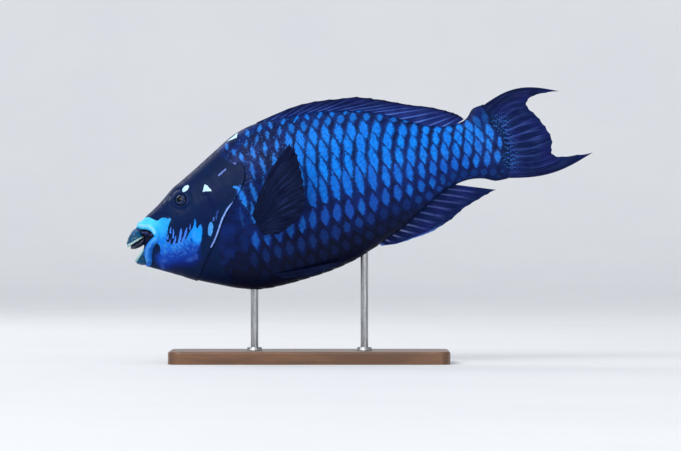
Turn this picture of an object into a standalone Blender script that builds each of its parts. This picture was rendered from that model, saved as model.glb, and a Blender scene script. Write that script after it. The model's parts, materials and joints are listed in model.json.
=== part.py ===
"""Midnight parrotfish: a life-size display model, swimming nose down, on a plain stand.

The fish is modelled level, in its own frame: X runs from the mouth to the tail, Y across the
body and Z up, in metres. Its left side faces -Y. An empty then tips it nose down over the
stand. Each side view below is a line of (X, Z) points, read by a smooth curve.
"""

import math

import bmesh
import bpy
import numpy as np
from mathutils import Matrix, Vector
from mathutils.bvhtree import BVHTree

GAP = 0.0003
EDGE_GAP, FIN_ROOT_GAP, SOCKET_GAP, ROD_GAP = 0.7 * GAP, 1.3 * GAP, 1.5 * GAP, 1.2 * GAP
NOSE_DOWN = math.radians(15.5)

# Body, as side outline, half width, height of the widest place and fullness of the section
BACK = [
    (0.004, 0.0185), (0.010, 0.0225), (0.020, 0.0280), (0.040, 0.0390), (0.060, 0.0515),
    (0.090, 0.0665), (0.120, 0.0815), (0.145, 0.0935), (0.170, 0.0995), (0.200, 0.0985),
    (0.240, 0.0955), (0.280, 0.0870), (0.320, 0.0725), (0.350, 0.0545), (0.375, 0.0415),
    (0.400, 0.0360), (0.420, 0.0385), (0.441, 0.0485), (0.456, 0.0500),
]
BELLY = [
    (0.004, -0.0260), (0.010, -0.0300), (0.020, -0.0360), (0.040, -0.0480), (0.060, -0.0600),
    (0.080, -0.0700), (0.100, -0.0800), (0.120, -0.0875), (0.145, -0.0915), (0.180, -0.0920),
    (0.220, -0.0900), (0.245, -0.0860), (0.275, -0.0770), (0.310, -0.0650), (0.350, -0.0450),
    (0.375, -0.0345), (0.400, -0.0310), (0.420, -0.0340), (0.441, -0.0410), (0.456, -0.0420),
]
HALF_WIDTH = [
    (0.004, 0.0100), (0.010, 0.0135), (0.020, 0.0180), (0.040, 0.0262), (0.067, 0.0320),
    (0.100, 0.0370), (0.140, 0.0400), (0.180, 0.0410), (0.230, 0.0390), (0.280, 0.0325),
    (0.330, 0.0235), (0.380, 0.0150), (0.420, 0.0090), (0.441, 0.0052), (0.456, 0.0030),
]
WIDEST_HEIGHT = [(0.004, -0.002), (0.060, 0.002), (0.150, 0.010), (0.300, 0.007), (0.456, 0.002)]
BACK_FULLNESS = [(0.004, 0.90), (0.080, 1.00), (0.160, 1.16), (0.360, 1.12), (0.456, 1.00)]
BELLY_FULLNESS = [(0.004, 0.95), (0.080, 1.05), (0.160, 0.92), (0.300, 0.95), (0.456, 1.00)]
SECTION_STEPS = 181

# Where the body is parted
TAIL_STEM_FROM = 0.362
STEM_END_MIDDLE, STEM_END_EDGE = 0.4555, 0.0145
STEM_END_HALF_HEIGHT = 0.047
STEM_BEND_AFTER = 0.020
GILL_EDGE = [  # (Z, X)
    (-0.100, 0.040), (-0.075, 0.050), (-0.052, 0.066), (-0.034, 0.081), (-0.017, 0.096),
    (0.001, 0.110), (0.014, 0.122), (0.027, 0.136), (0.040, 0.146), (0.053, 0.1485),
    (0.068, 0.142), (0.085, 0.130), (0.110, 0.118),
]
GILL_EDGE_STEPS = 43
GILL_LIFT, GILL_LIFT_REACH = 0.0018, 0.014
GILL_HOLLOW, GILL_HOLLOW_REACH = 0.0008, 0.010
GILL_FREE_BOTTOM, GILL_FREE_TOP = (-0.075, -0.045), (0.046, 0.066)

# Scales, as a lattice of tall diamonds whose middles stand out and lean to the rear
SCALE_PITCH, STEM_SCALE_PITCH = 0.0143, 0.0132
SCALE_ROWS, STEM_SCALE_ROWS = 9, 6
SCALE_LIFT, SCALE_SINK = 0.0015, 0.0003
SCALE_LEAN = 0.34
SCALES_FROM = 0.124
SCALES_GROW = (0.003, 0.012)
BARE_SKIN_REACH = 0.011
END_CLEARANCE = 0.6

# Head
HEAD_SIDES = 15
SNOUT_STATIONS = [0.004, 0.007, 0.011, 0.016, 0.021, 0.026, 0.031, 0.036]
HEAD_STATIONS_FROM, HEAD_STATIONS_TO, HEAD_STATION_STEP = 0.043, 0.160, 0.0075
ACROSS_MOUTH, ACROSS_BODY = 0.040, 0.070
EYE_AT = (0.067, 0.037)
EYE_RADIUS, EYE_BULGE, EYE_SINK = 0.0078, 0.0048, 0.0026
EYE_RIM_RADIUS, EYE_RIM_THICK = 0.0086, 0.0011
NOSTRILS = [((0.0475, 0.0385), 0.0013), ((0.0540, 0.0415), 0.0017)]
NOSTRIL_DEPTH = 0.0030
UPPER_LIP = [(0.0284, 0.0012), (0.0287, 0.0085), (0.0262, 0.0148), (0.0205, 0.0195), (0.0155, 0.0210)]
UPPER_LIP_MIDDLE = (0.0130, 0.0212)
LOWER_LIP = [(0.0286, 0.0014), (0.0215, -0.0040), (0.0160, -0.0085), (0.0128, -0.0145), (0.0118, -0.0210)]
LOWER_LIP_MIDDLE = (0.0105, -0.0262)
LIP_RADIUS, LIP_END_RADIUS, LIP_SINK, LIP_STEPS = 0.0042, 0.0027, 0.0010, 21
LIP_FULLNESS = 0.7
GAPE = [
    (-0.0200, -0.0030), (-0.0092, -0.0003), (0.0140, 0.0055), (0.0275, 0.0018),
    (0.0120, -0.0045), (-0.0050, -0.0195), (-0.0200, -0.0330),
]

# Beak: cutting edge's tip and slope, then height of each slice off the edge, its front, its
# half width and its back, measured along the slope from the tip
UPPER_BEAK_TIP, UPPER_BEAK_SLOPE = (-0.0092, 0.0003), math.radians(14.5)
UPPER_BEAK = [
    (0.0000, 0.0000, 0.0136, 0.0230), (0.0042, 0.0018, 0.0139, 0.0238),
    (0.0084, 0.0060, 0.0130, 0.0238), (0.0120, 0.0118, 0.0106, 0.0238),
    (0.0140, 0.0160, 0.0072, 0.0230),
]
LOWER_BEAK_TIP, LOWER_BEAK_SLOPE = (-0.0050, -0.0187), math.radians(41)
LOWER_BEAK = [
    (0.0000, 0.0000, 0.0118, 0.0200), (-0.0036, -0.0008, 0.0123, 0.0205),
    (-0.0075, 0.0000, 0.0115, 0.0205), (-0.0112, 0.0020, 0.0094, 0.0200),
    (-0.0140, 0.0058, 0.0062, 0.0185),
]
BEAK_SIDES = 22
BEAK_WALL, BEAK_CUP = 0.0024, 0.0045
BEAK_ALONG_POWER, BEAK_ACROSS_POWER = 0.8, 0.9

# Fins: root and margin are side views, in order from the first ray to the last, and each fin's
# two thicknesses are those of a ray and of the skin between rays, both at the root
RIDGE_SHARE = 0.24
MARGIN_NOTCH = 0.020
RAY_TIP_THICK, SKIN_TIP_THICK = 0.0008, 0.0006
DORSAL_THICK, ANAL_THICK, TAIL_THICK = (0.0034, 0.0020), (0.0032, 0.0018), (0.0042, 0.0026)
PECTORAL_THICK, PELVIC_THICK = (0.0028, 0.0018), (0.0024, 0.0016)
DORSAL_RAYS, DORSAL_FROM, DORSAL_TO = 19, 0.1735, 0.4015
DORSAL_MARGIN = [
    (0.178, 0.1012), (0.200, 0.1045), (0.222, 0.1072), (0.240, 0.1075), (0.260, 0.1055),
    (0.280, 0.1020), (0.300, 0.0985), (0.320, 0.0905), (0.340, 0.0810), (0.360, 0.0715),
    (0.380, 0.0635), (0.400, 0.0525), (0.409, 0.0460), (0.414, 0.0395),
]
ANAL_RAYS, ANAL_FROM, ANAL_TO = 12, 0.2765, 0.3820
ANAL_MARGIN = [
    (0.281, -0.0790), (0.300, -0.0815), (0.320, -0.0805), (0.340, -0.0790), (0.355, -0.0750),
    (0.370, -0.0700), (0.385, -0.0625), (0.400, -0.0580), (0.415, -0.0540), (0.428, -0.0510),
]
TAIL_RAYS = 15
TAIL_ROOT_TOP, TAIL_ROOT_BOTTOM = 0.0480, -0.0405
TAIL_BOW_TOP, TAIL_BOW_BOTTOM = 0.0130, -0.0100
TAIL_MARGIN = [
    (0.531, 0.0410), (0.514, 0.0435), (0.499, 0.0435), (0.4905, 0.0385), (0.491, 0.0310),
    (0.497, 0.0220), (0.502, 0.0110), (0.506, 0.0000), (0.508, -0.0110), (0.505, -0.0210),
    (0.504, -0.0280), (0.512, -0.0335), (0.530, -0.0365), (0.550, -0.0390),
]
TAIL_PARTS = [
    ("tail_fin_upper", 0.0, 0.357), ("tail_fin_middle", 0.357, 0.643), ("tail_fin_lower", 0.643, 1.0),
]
TAIL_PART_GAP = 0.0025
PECTORAL_RAYS = 14
PECTORAL_ROOT = [(0.1440, -0.0040), (0.1465, -0.0120), (0.1485, -0.0200), (0.1505, -0.0290)]
PECTORAL_MARGIN = [
    (0.209, 0.0650), (0.2135, 0.0530), (0.2135, 0.0380), (0.2125, 0.0200), (0.210, 0.0030),
    (0.205, -0.0120), (0.195, -0.0210), (0.182, -0.0280), (0.168, -0.0330),
]
PECTORAL_ROOT_OFF = 0.0024
PECTORAL_SPREAD, PECTORAL_CUP = 0.42, 0.0045
PECTORAL_BOW, PECTORAL_BOW_FORWARD = 0.0060, 0.0024
PECTORAL_BASE_AT, PECTORAL_BASE_LIFT, PECTORAL_BASE_REACH = (0.1470, -0.0170), 0.0030, 0.013
PELVIC_RAYS = 6
PELVIC_ROOT = [(0.1500, -0.0765), (0.1540, -0.0800), (0.1580, -0.0830)]
PELVIC_MARGIN = [(0.2320, -0.0800), (0.2240, -0.0825), (0.2100, -0.0845), (0.1940, -0.0862)]
PELVIC_ROOT_OFF, PELVIC_STAND_OFF = 0.0019, 0.0045
PELVIC_OVER_SCALES = 0.3

# Stand
BELLY_CLEARANCE = 0.072
BASE_LENGTH, BASE_WIDTH, BASE_THICK = 0.330, 0.130, 0.015
BASE_CORNER, BASE_EDGE = 0.014, 0.0020
ROD_RADIUS, ROD_SIDES = 0.0045, 20
ROD_FOOT_RADIUS, ROD_FOOT_THICK = 0.0100, 0.0035
RODS = [("stand_rod_front", 0.122), ("stand_rod_rear", 0.258)]

SHARP_FROM, SCALE_SHARP_FROM = 40, 6
NAVY = (0.012, 0.020, 0.070)
AZURE = (0.010, 0.110, 0.520)
LOOKS = {  # colour, roughness, metallic
    "head": (NAVY, 0.45, 0.0), "trunk": (AZURE, 0.45, 0.0), "tail_stem": (AZURE, 0.45, 0.0),
    "eye": ((0.004, 0.005, 0.012), 0.10, 0.0), "beak": ((0.090, 0.300, 0.280), 0.35, 0.0),
    "fin": ((0.018, 0.022, 0.090), 0.45, 0.0), "base": ((0.260, 0.160, 0.090), 0.55, 0.0),
    "rod": ((0.550, 0.550, 0.560), 0.30, 1.0),
}


def smooth(points):
    """A function that reads a smooth curve through (place, value) points."""
    at, value = np.array(points, float).T
    slope = np.gradient(value, at)

    def read(x):
        x = np.clip(x, at[0], at[-1])
        i = np.clip(np.searchsorted(at, x) - 1, 0, len(at) - 2)
        step = at[i + 1] - at[i]
        t = (x - at[i]) / step
        near = (1 + 2 * t) * value[i] + t * step * slope[i]
        far = (3 - 2 * t) * value[i + 1] - (1 - t) * step * slope[i + 1]
        return near * (1 - t) ** 2 + far * t**2

    return read


def path(points):
    """A function that gives the point at a share, from 0 to 1, of the way along a smooth line."""
    points = np.array(points, float)
    along = np.linspace(0.0, 1.0, len(points))
    axes = [smooth(np.column_stack([along, column])) for column in points.T]
    return lambda share: np.array([axis(share) for axis in axes])


def fade(value, start, end):
    """0 before start and 1 past end, with a soft change between them."""
    t = np.clip((value - start) / (end - start), 0.0, 1.0)
    return t * t * (3 - 2 * t)


back, belly, half_width = smooth(BACK), smooth(BELLY), smooth(HALF_WIDTH)
widest_height = smooth(WIDEST_HEIGHT)
back_fullness, belly_fullness = smooth(BACK_FULLNESS), smooth(BELLY_FULLNESS)
gill_edge = smooth(GILL_EDGE)


def half_section(x, count):
    """(Y, Z) points of one side of the body at x, from the back to the belly, evenly spaced."""
    turn = np.linspace(0.0, math.pi, SECTION_STEPS)
    middle = widest_height(x)
    upper = turn < math.pi / 2
    reach = np.where(upper, back(x) - middle, middle - belly(x))
    power = np.where(upper, back_fullness(x), belly_fullness(x))
    side = half_width(x) * np.maximum(np.sin(turn), 0.0) ** power
    up = middle + reach * np.cos(turn)
    length = np.concatenate([[0.0], np.cumsum(np.hypot(np.diff(side), np.diff(up)))])
    even = np.linspace(0.0, length[-1], count + 1)
    return np.column_stack([np.interp(even, length, side), np.interp(even, length, up)])


def skin_side(x, z):
    """Half width of the body at a point of its side view."""
    middle = widest_height(x)
    top = z >= middle
    reach = np.where(top, back(x) - middle, middle - belly(x))
    power = np.where(top, back_fullness(x), belly_fullness(x))
    share = np.clip(np.abs(z - middle) / reach, 0.0, 1.0)
    return half_width(x) * np.sqrt(1 - share**2) ** power


def skin_point(x, z, side=-1, stand_off=0.0):
    """Point on the body's skin, or this far off it, and the skin's outward direction there."""
    step = 0.001
    slope_x = (skin_side(x + step, z) - skin_side(x - step, z)) / (2 * step)
    slope_z = (skin_side(x, z + step) - skin_side(x, z - step)) / (2 * step)
    outward = Vector((-slope_x, 1.0, -slope_z)).normalized()
    point = Vector((x, skin_side(x, z), z)) + outward * stand_off
    return Vector((point.x, side * point.y, point.z)), Vector((outward.x, side * outward.y, outward.z))


def gill_free(z):
    """1 where the gill cover's edge is free, and 0 on the nape and the throat."""
    return fade(z, *GILL_FREE_BOTTOM) * (1 - fade(z, *GILL_FREE_TOP))


def gill_lift(x, z):
    """How far the gill cover stands out of the head just ahead of its free edge."""
    ahead = np.maximum(gill_edge(z) - x, 0.0)
    return GILL_LIFT * np.exp(-ahead / GILL_LIFT_REACH) * gill_free(z)


def head_lift(x, z, place):
    """Lift and lean of the head's ring points."""
    return gill_lift(x, z), np.zeros(len(place))


def trunk_lift(x, z):
    """Hollow behind the gill cover and fleshy base of the pectoral fin."""
    behind = np.maximum(x - gill_edge(z), 0.0)
    hollow = -GILL_HOLLOW * np.exp(-behind / GILL_HOLLOW_REACH) * gill_free(z)
    away = np.hypot(x - PECTORAL_BASE_AT[0], z - PECTORAL_BASE_AT[1]) / PECTORAL_BASE_REACH
    return hollow + PECTORAL_BASE_LIFT * np.exp(-(away**2))


def move_to(collection, piece):
    for holder in list(piece.users_collection):
        holder.objects.unlink(piece)
    collection.objects.link(piece)


def new_object(name, mesh):
    thing = bpy.data.objects.new(name, mesh)
    bpy.context.scene.collection.objects.link(thing)
    return thing


def solid(name, points, faces):
    """Closed mesh object from a loft's points and faces, with its faces turned outwards."""
    build = bmesh.new()
    verts = [build.verts.new(point) for point in points]
    for face in faces:
        build.faces.new([verts[i] for i in face])
    bmesh.ops.recalc_face_normals(build, faces=build.faces)
    mesh = bpy.data.meshes.new(name)
    build.to_mesh(mesh)
    build.free()
    return new_object(name, mesh)


def loft(name, rings, lattice=False):
    """Solid through closed rings of points, capped at both ends.

    A lattice's odd points lie half a step behind its even ones, and its diagonals follow that.
    """
    rings = np.asarray(rings, float)
    count, sides = rings.shape[:2]
    points = list(rings.reshape(-1, 3)) + [rings[0].mean(axis=0), rings[-1].mean(axis=0)]
    first_cap, last_cap = count * sides, count * sides + 1
    faces = []
    for i in range(count - 1):
        for j in range(sides):
            a, b = i * sides + j, i * sides + (j + 1) % sides
            c, d = b + sides, a + sides
            faces += [(a, b, d), (b, c, d)] if lattice and j % 2 == 0 else [(a, b, c), (a, c, d)]
    for j in range(sides):
        k = (j + 1) % sides
        faces += [(j, k, first_cap), ((count - 1) * sides + j, (count - 1) * sides + k, last_cap)]
    return solid(name, points, faces)


def body_ring(x, count, lift=None, end_curve=0.0, stagger=0.0):
    """Ring of points round the body at x, left side first, moved out and back by lift(x, z, place).

    The odd points lie behind x by stagger, and end_curve, from 0 to 1, bends the ring like the
    rear end of the body.
    """
    half = half_section(x, count)
    odd = np.arange(count + 1) % 2 == 1
    if stagger:
        half[odd] = half_section(x + stagger, count)[odd]
    run = np.gradient(half, axis=0)
    outward = np.column_stack([-run[:, 1], run[:, 0]])
    outward /= np.linalg.norm(outward, axis=1)[:, None]
    outward[0], outward[-1] = (0.0, 1.0), (0.0, -1.0)
    at = x + stagger * odd
    if lift is not None:
        out, along = lift(x, half[:, 1], np.arange(count + 1))
        half = half + outward * out[:, None]
        at = at + along
    if end_curve:
        at = at - end_curve * STEM_END_EDGE * (half[:, 1] / STEM_END_HALF_HEIGHT) ** 2
    left = np.column_stack([at, -half[:, 0], half[:, 1]])
    right = np.column_stack([at, half[:, 0], half[:, 1]])[-2:0:-1]
    return np.vstack([left, right])


def apply_boolean(target, operation, pieces):
    """Joins pieces to target, or cuts them out of it, keeps its largest body and drops the pieces."""
    group = bpy.data.collections.new(f"{target.name}_{operation.lower()}")
    bpy.context.scene.collection.children.link(group)
    for piece in pieces:
        move_to(group, piece)
    change = target.modifiers.new(operation.title(), "BOOLEAN")
    change.operation = operation
    change.solver = "EXACT"
    change.operand_type = "COLLECTION"
    change.collection = group
    graph = bpy.context.evaluated_depsgraph_get()
    mesh = bpy.data.meshes.new_from_object(target.evaluated_get(graph))
    target.modifiers.clear()
    target.data = mesh
    for piece in pieces:
        bpy.data.objects.remove(piece)
    bpy.data.collections.remove(group)
    keep_largest(mesh)


def keep_largest(mesh):
    """Keeps only the largest closed surface of a mesh, in triangles."""
    build = bmesh.new()
    build.from_mesh(mesh)
    bmesh.ops.triangulate(build, faces=build.faces)
    unseen, bodies = set(build.faces), []
    while unseen:
        edge, body = [unseen.pop()], []
        while edge:
            face = edge.pop()
            body.append(face)
            near = {other for side in face.edges for other in side.link_faces} & unseen
            unseen -= near
            edge += near
        volume = sum(f.calc_center_median().dot(f.normal) * f.calc_area() for f in body)
        bodies.append((abs(volume), body))
    bodies.sort(key=lambda pair: pair[0])
    for _, body in bodies[:-1]:
        bmesh.ops.delete(build, geom=body, context="FACES")
    build.to_mesh(mesh)
    build.free()


def grown(source, name, by):
    """Copy of a rounded solid, swollen outwards by a distance, that cuts its own socket."""
    build = bmesh.new()
    build.from_mesh(source.data)
    build.normal_update()
    moved = [(vert, vert.co + vert.normal * by) for vert in build.verts]
    for vert, place in moved:
        vert.co = place
    mesh = bpy.data.meshes.new(name)
    build.to_mesh(mesh)
    build.free()
    return new_object(name, mesh)


def prism(name, outline, half_depth):
    """Side-view outline carried across the body from side to side."""
    build = bmesh.new()
    face = build.faces.new([build.verts.new((x, -half_depth, z)) for x, z in outline])
    moved = bmesh.ops.extrude_face_region(build, geom=[face])["geom"]
    moved_verts = [item for item in moved if isinstance(item, bmesh.types.BMVert)]
    bmesh.ops.translate(build, verts=moved_verts, vec=(0, 2 * half_depth, 0))
    bmesh.ops.recalc_face_normals(build, faces=build.faces)
    mesh = bpy.data.meshes.new(name)
    build.to_mesh(mesh)
    build.free()
    return new_object(name, mesh)


def tube(name, points, radii):
    """Tapered round bar along points, made from a bevelled curve."""
    curve = bpy.data.curves.new(name, "CURVE")
    curve.dimensions = "3D"
    curve.bevel_depth, curve.bevel_resolution, curve.use_fill_caps = 1.0, 2, True
    line = curve.splines.new("POLY")
    line.points.add(len(points) - 1)
    for knot, point, radius in zip(line.points, points, radii):
        knot.co, knot.radius = (*point, 1.0), radius
    bar = new_object(name, curve)
    mesh = bpy.data.meshes.new_from_object(bar.evaluated_get(bpy.context.evaluated_depsgraph_get()))
    bpy.data.objects.remove(bar)
    build = bmesh.new()
    build.from_mesh(mesh)
    bmesh.ops.remove_doubles(build, verts=build.verts, dist=1e-5)
    bmesh.ops.recalc_face_normals(build, faces=build.faces)
    build.to_mesh(mesh)
    build.free()
    return new_object(name, mesh)


def ball(name, centre, outward, radius, depth, sides=20):
    """Flattened ball whose short axis, of half length depth, points outward."""
    build = bmesh.new()
    bmesh.ops.create_uvsphere(build, u_segments=sides, v_segments=sides // 2, radius=1.0)
    turn = outward.to_track_quat("Z", "Y").to_matrix().to_4x4()
    place = Matrix.Translation(centre) @ turn @ Matrix.Diagonal((radius, radius, depth, 1.0))
    bmesh.ops.transform(build, matrix=place, verts=build.verts)
    mesh = bpy.data.meshes.new(name)
    build.to_mesh(mesh)
    build.free()
    return new_object(name, mesh)


def rim(name, centre, outward, radius, thick):
    """Round ring that lies flat on the skin."""
    turn = outward.to_track_quat("Z", "Y")
    bpy.ops.mesh.primitive_torus_add(
        major_segments=24, minor_segments=6, major_radius=radius, minor_radius=thick
    )
    ring = bpy.context.active_object
    ring.name = name
    ring.data.transform(Matrix.Translation(centre) @ turn.to_matrix().to_4x4())
    return ring


def lip(name, side_view, middle):
    """Roll of flesh round one jaw, from one corner of the mouth to the other."""
    near = [skin_point(x, z, -1, -LIP_SINK)[0] for x, z in side_view]
    far = [Vector((point.x, -point.y, point.z)) for point in reversed(near)]
    line = path([*near, (middle[0], 0.0, middle[1]), *far])
    shares = np.linspace(0.0, 1.0, LIP_STEPS)
    fullness = np.sin(math.pi * shares) ** LIP_FULLNESS
    radii = LIP_END_RADIUS + (LIP_RADIUS - LIP_END_RADIUS) * fullness
    return tube(name, [line(share) for share in shares], radii)


def beak(name, slices, tip, slope):
    """Tooth plate: curved slices from its cutting edge to its root, cupped behind the edge."""
    turn = np.linspace(0.0, 2 * math.pi, BEAK_SIDES, endpoint=False)
    rings = []
    for height, front, half, rear in slices:
        middle, reach = (front + rear) / 2, (rear - front) / 2
        along = middle - reach * np.sign(np.cos(turn)) * np.abs(np.cos(turn)) ** BEAK_ALONG_POWER
        across = half * np.sign(np.sin(turn)) * np.abs(np.sin(turn)) ** BEAK_ACROSS_POWER
        rings.append(np.column_stack([along, across, np.full(BEAK_SIDES, height)]))
    edge = rings[0]
    centre = edge.mean(axis=0)
    cup = centre + (edge - centre) * (1 - BEAK_WALL / slices[0][2])
    cup[:, 2] += math.copysign(BEAK_CUP, slices[-1][0])
    rings.insert(0, cup)
    place = Matrix.Translation((tip[0], 0.0, tip[1])) @ Matrix.Rotation(-slope, 4, "Y")
    plate = loft(name, rings)
    plate.data.transform(place)
    return plate


def eye(name, side):
    at, outward = skin_point(*EYE_AT, side)
    return ball(name, at - outward * EYE_SINK, outward, EYE_RADIUS, EYE_BULGE)


def head(beaks, eyes):
    """Front of the body up to the gill cover's free edge, with lips, mouth, sockets and nostrils."""
    later = np.arange(HEAD_STATIONS_FROM, HEAD_STATIONS_TO, HEAD_STATION_STEP)
    stations = np.concatenate([SNOUT_STATIONS, later])
    whole = loft("head", [body_ring(x, HEAD_SIDES, head_lift) for x in stations])
    joined = [
        lip("upper_lip", UPPER_LIP, UPPER_LIP_MIDDLE), lip("lower_lip", LOWER_LIP, LOWER_LIP_MIDDLE)
    ]
    for side in (-1, 1):
        at, outward = skin_point(*EYE_AT, side)
        joined.append(rim("eye_rim", at, outward, EYE_RIM_RADIUS, EYE_RIM_THICK))
    apply_boolean(whole, "UNION", joined)
    cutters = [prism("gape", GAPE, ACROSS_MOUTH), beyond_gill("behind_gill", -EDGE_GAP, 0.200)]
    cutters += [grown(piece, f"{piece.name}_socket", SOCKET_GAP) for piece in beaks + eyes]
    for side in (-1, 1):
        for at, radius in NOSTRILS:
            point, outward = skin_point(*at, side)
            cutters.append(ball("nostril", point, outward, radius, NOSTRIL_DEPTH, sides=10))
    apply_boolean(whole, "DIFFERENCE", cutters)
    return whole


def beyond_gill(name, off, far_x):
    """Cutter for all that lies past the gill cover's free edge, moved by off, out to far_x."""
    bottom, top = GILL_EDGE[0][0], GILL_EDGE[-1][0]
    edge = [(gill_edge(z) + off, z) for z in np.linspace(bottom, top, GILL_EDGE_STEPS)]
    return prism(name, edge + [(far_x, top), (far_x, bottom)], ACROSS_BODY)


def scaled(x, z):
    """1 where the scales stand out in full, less round the roots of the paired fins."""
    pectoral = np.hypot(x - PECTORAL_BASE_AT[0], z - PECTORAL_BASE_AT[1])
    pelvic = np.hypot(x - PELVIC_ROOT[1][0], z - PELVIC_ROOT[1][1])
    return fade(np.minimum(pectoral, pelvic), BARE_SKIN_REACH, 2 * BARE_SKIN_REACH)


def scale_lift(pitch, rows, base=None):
    """Lift and lean of the lattice points: each diamond's middle stands out and leans rearwards."""

    def read(x, z, place):
        column = round((x - SCALES_FROM) / (pitch / 2))
        raised = (place % 2 == 0) & ((column + place // 2) % 2 == 0)
        midline = np.minimum(place, 2 * rows - place)
        grown_out = fade(x - gill_edge(z), *SCALES_GROW) * scaled(x, z)
        strength = np.clip(midline / 2, 0.0, 1.0) * grown_out
        out = np.where(raised, SCALE_LIFT, -SCALE_SINK) * strength
        lean = np.where(raised, SCALE_LEAN * pitch / 2, 0.0) * strength
        return out + (base(x, z) if base else 0.0), lean

    return read


def trunk():
    """Body from the gill cover to the tail stem, with its scales."""
    half_pitch = SCALE_PITCH / 2
    first = SCALES_FROM - 10 * half_pitch
    last = TAIL_STEM_FROM - (END_CLEARANCE + 0.5) * half_pitch
    lift = scale_lift(SCALE_PITCH, SCALE_ROWS, trunk_lift)
    rings = [
        body_ring(x, 2 * SCALE_ROWS, lift, stagger=half_pitch / 2)
        for x in np.arange(first, last, half_pitch)
    ]
    rings.append(body_ring(TAIL_STEM_FROM - GAP / 2, 2 * SCALE_ROWS))
    whole = loft("trunk", rings, lattice=True)
    apply_boolean(whole, "DIFFERENCE", [beyond_gill("ahead_of_gill", EDGE_GAP, -0.020)])
    return whole


def tail_stem():
    """Narrow rear of the body, with its scales, up to the roots of the tail fin's rays."""
    half_pitch, sides = STEM_SCALE_PITCH / 2, 2 * STEM_SCALE_ROWS
    first = TAIL_STEM_FROM + END_CLEARANCE * half_pitch
    last = STEM_END_MIDDLE - (END_CLEARANCE + 0.5) * half_pitch
    lift = scale_lift(STEM_SCALE_PITCH, STEM_SCALE_ROWS)
    rings = [body_ring(TAIL_STEM_FROM + GAP / 2, sides)]
    for x in np.arange(first, last, half_pitch):
        bend = fade(x, TAIL_STEM_FROM + STEM_BEND_AFTER, STEM_END_MIDDLE)
        rings.append(body_ring(x, sides, lift, bend, half_pitch / 2))
    rings.append(body_ring(STEM_END_MIDDLE, sides, None, 1.0))
    return loft("tail_stem", rings, lattice=True)


def fin(name, surface, rays, thick, steps, span=(0.0, 1.0)):
    """Thin fin with its rays as ridges on both faces.

    surface(across, out) gives a point of the fin's middle surface. across runs from the first ray
    to the last, out from root to margin. thick is that of a ray and of the skin, at the root.
    """
    step = 1.0 / (rays - 1)
    columns = []
    for i in range(rays):
        at = i * step
        columns += [(at - RIDGE_SHARE * step, 0), (at, 1), (at + RIDGE_SHARE * step, 0)]
    columns = [(at, ridge) for at, ridge in columns if span[0] + 1e-6 < at < span[1] - 1e-6]
    columns = [(span[0], float(span[0] == 0))] + columns + [(span[1], float(span[1] == 1))]
    middle = np.empty((len(columns), steps + 1, 3))
    half = np.empty((len(columns), steps + 1))
    for c, (across, ridge) in enumerate(columns):
        for s in range(steps + 1):
            share = s / steps
            out = share * (1.0 if ridge else 1.0 - MARGIN_NOTCH)
            middle[c, s] = surface(across, out)
            ray = thick[0] + (RAY_TIP_THICK - thick[0]) * share
            skin = thick[1] + (SKIN_TIP_THICK - thick[1]) * share
            half[c, s] = (ray if ridge else skin) / 2
    down = np.gradient(middle, axis=1)
    over = np.gradient(middle, axis=0)
    outward = np.cross(over, down)
    outward /= np.linalg.norm(outward, axis=2)[:, :, None]
    near = middle + outward * half[:, :, None]
    far = middle - outward * half[:, :, None]
    points = np.concatenate([near.reshape(-1, 3), far.reshape(-1, 3)])
    wide, size = steps + 1, len(columns) * (steps + 1)
    faces = []
    for c in range(len(columns) - 1):
        for s in range(steps):
            a, b, d, e = c * wide + s, c * wide + s + 1, (c + 1) * wide + s, (c + 1) * wide + s + 1
            cell = [(a, b, e), (a, e, d)]
            faces += cell + [tuple(i + size for i in face) for face in cell]
    rim_line = [c * wide for c in range(len(columns))]
    rim_line += [rim_line[-1] + s for s in range(1, wide)]
    rim_line += [c * wide + steps for c in range(len(columns) - 2, -1, -1)]
    rim_line += list(range(steps - 1, 0, -1))
    for a, b in zip(rim_line, rim_line[1:] + rim_line[:1]):
        faces += [(a, b, b + size), (a, b + size, a + size)]
    return solid(name, points, faces)


def dorsal_fin():
    margin = path(DORSAL_MARGIN)

    def surface(across, out):
        x = DORSAL_FROM + (DORSAL_TO - DORSAL_FROM) * across
        root = np.array([x, back(x) + FIN_ROOT_GAP])
        place = root + (margin(across) - root) * out
        return place[0], 0.0, place[1]

    return fin("dorsal_fin", surface, DORSAL_RAYS, DORSAL_THICK, steps=4)


def anal_fin():
    margin = path(ANAL_MARGIN)

    def surface(across, out):
        x = ANAL_FROM + (ANAL_TO - ANAL_FROM) * across
        root = np.array([x, belly(x) - FIN_ROOT_GAP])
        place = root + (margin(across) - root) * out
        return place[0], 0.0, place[1]

    return fin("anal_fin", surface, ANAL_RAYS, ANAL_THICK, steps=4)


def tail_fin(name, start, end):
    margin = path(TAIL_MARGIN)

    def surface(across, out):
        z = TAIL_ROOT_TOP + (TAIL_ROOT_BOTTOM - TAIL_ROOT_TOP) * across
        curve = STEM_END_EDGE * (z / STEM_END_HALF_HEIGHT) ** 2
        root = np.array([STEM_END_MIDDLE - curve + FIN_ROOT_GAP, z])
        bow = max(1 - 2 * across, 0) * TAIL_BOW_TOP + max(2 * across - 1, 0) * TAIL_BOW_BOTTOM
        place = root + (margin(across) - root) * out
        return place[0], 0.0, place[1] + bow * math.sin(math.pi * out)

    span = (start + TAIL_PART_GAP * (start > 0), end - TAIL_PART_GAP * (end < 1))
    return fin(name, surface, TAIL_RAYS, TAIL_THICK, steps=6, span=span)


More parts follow.
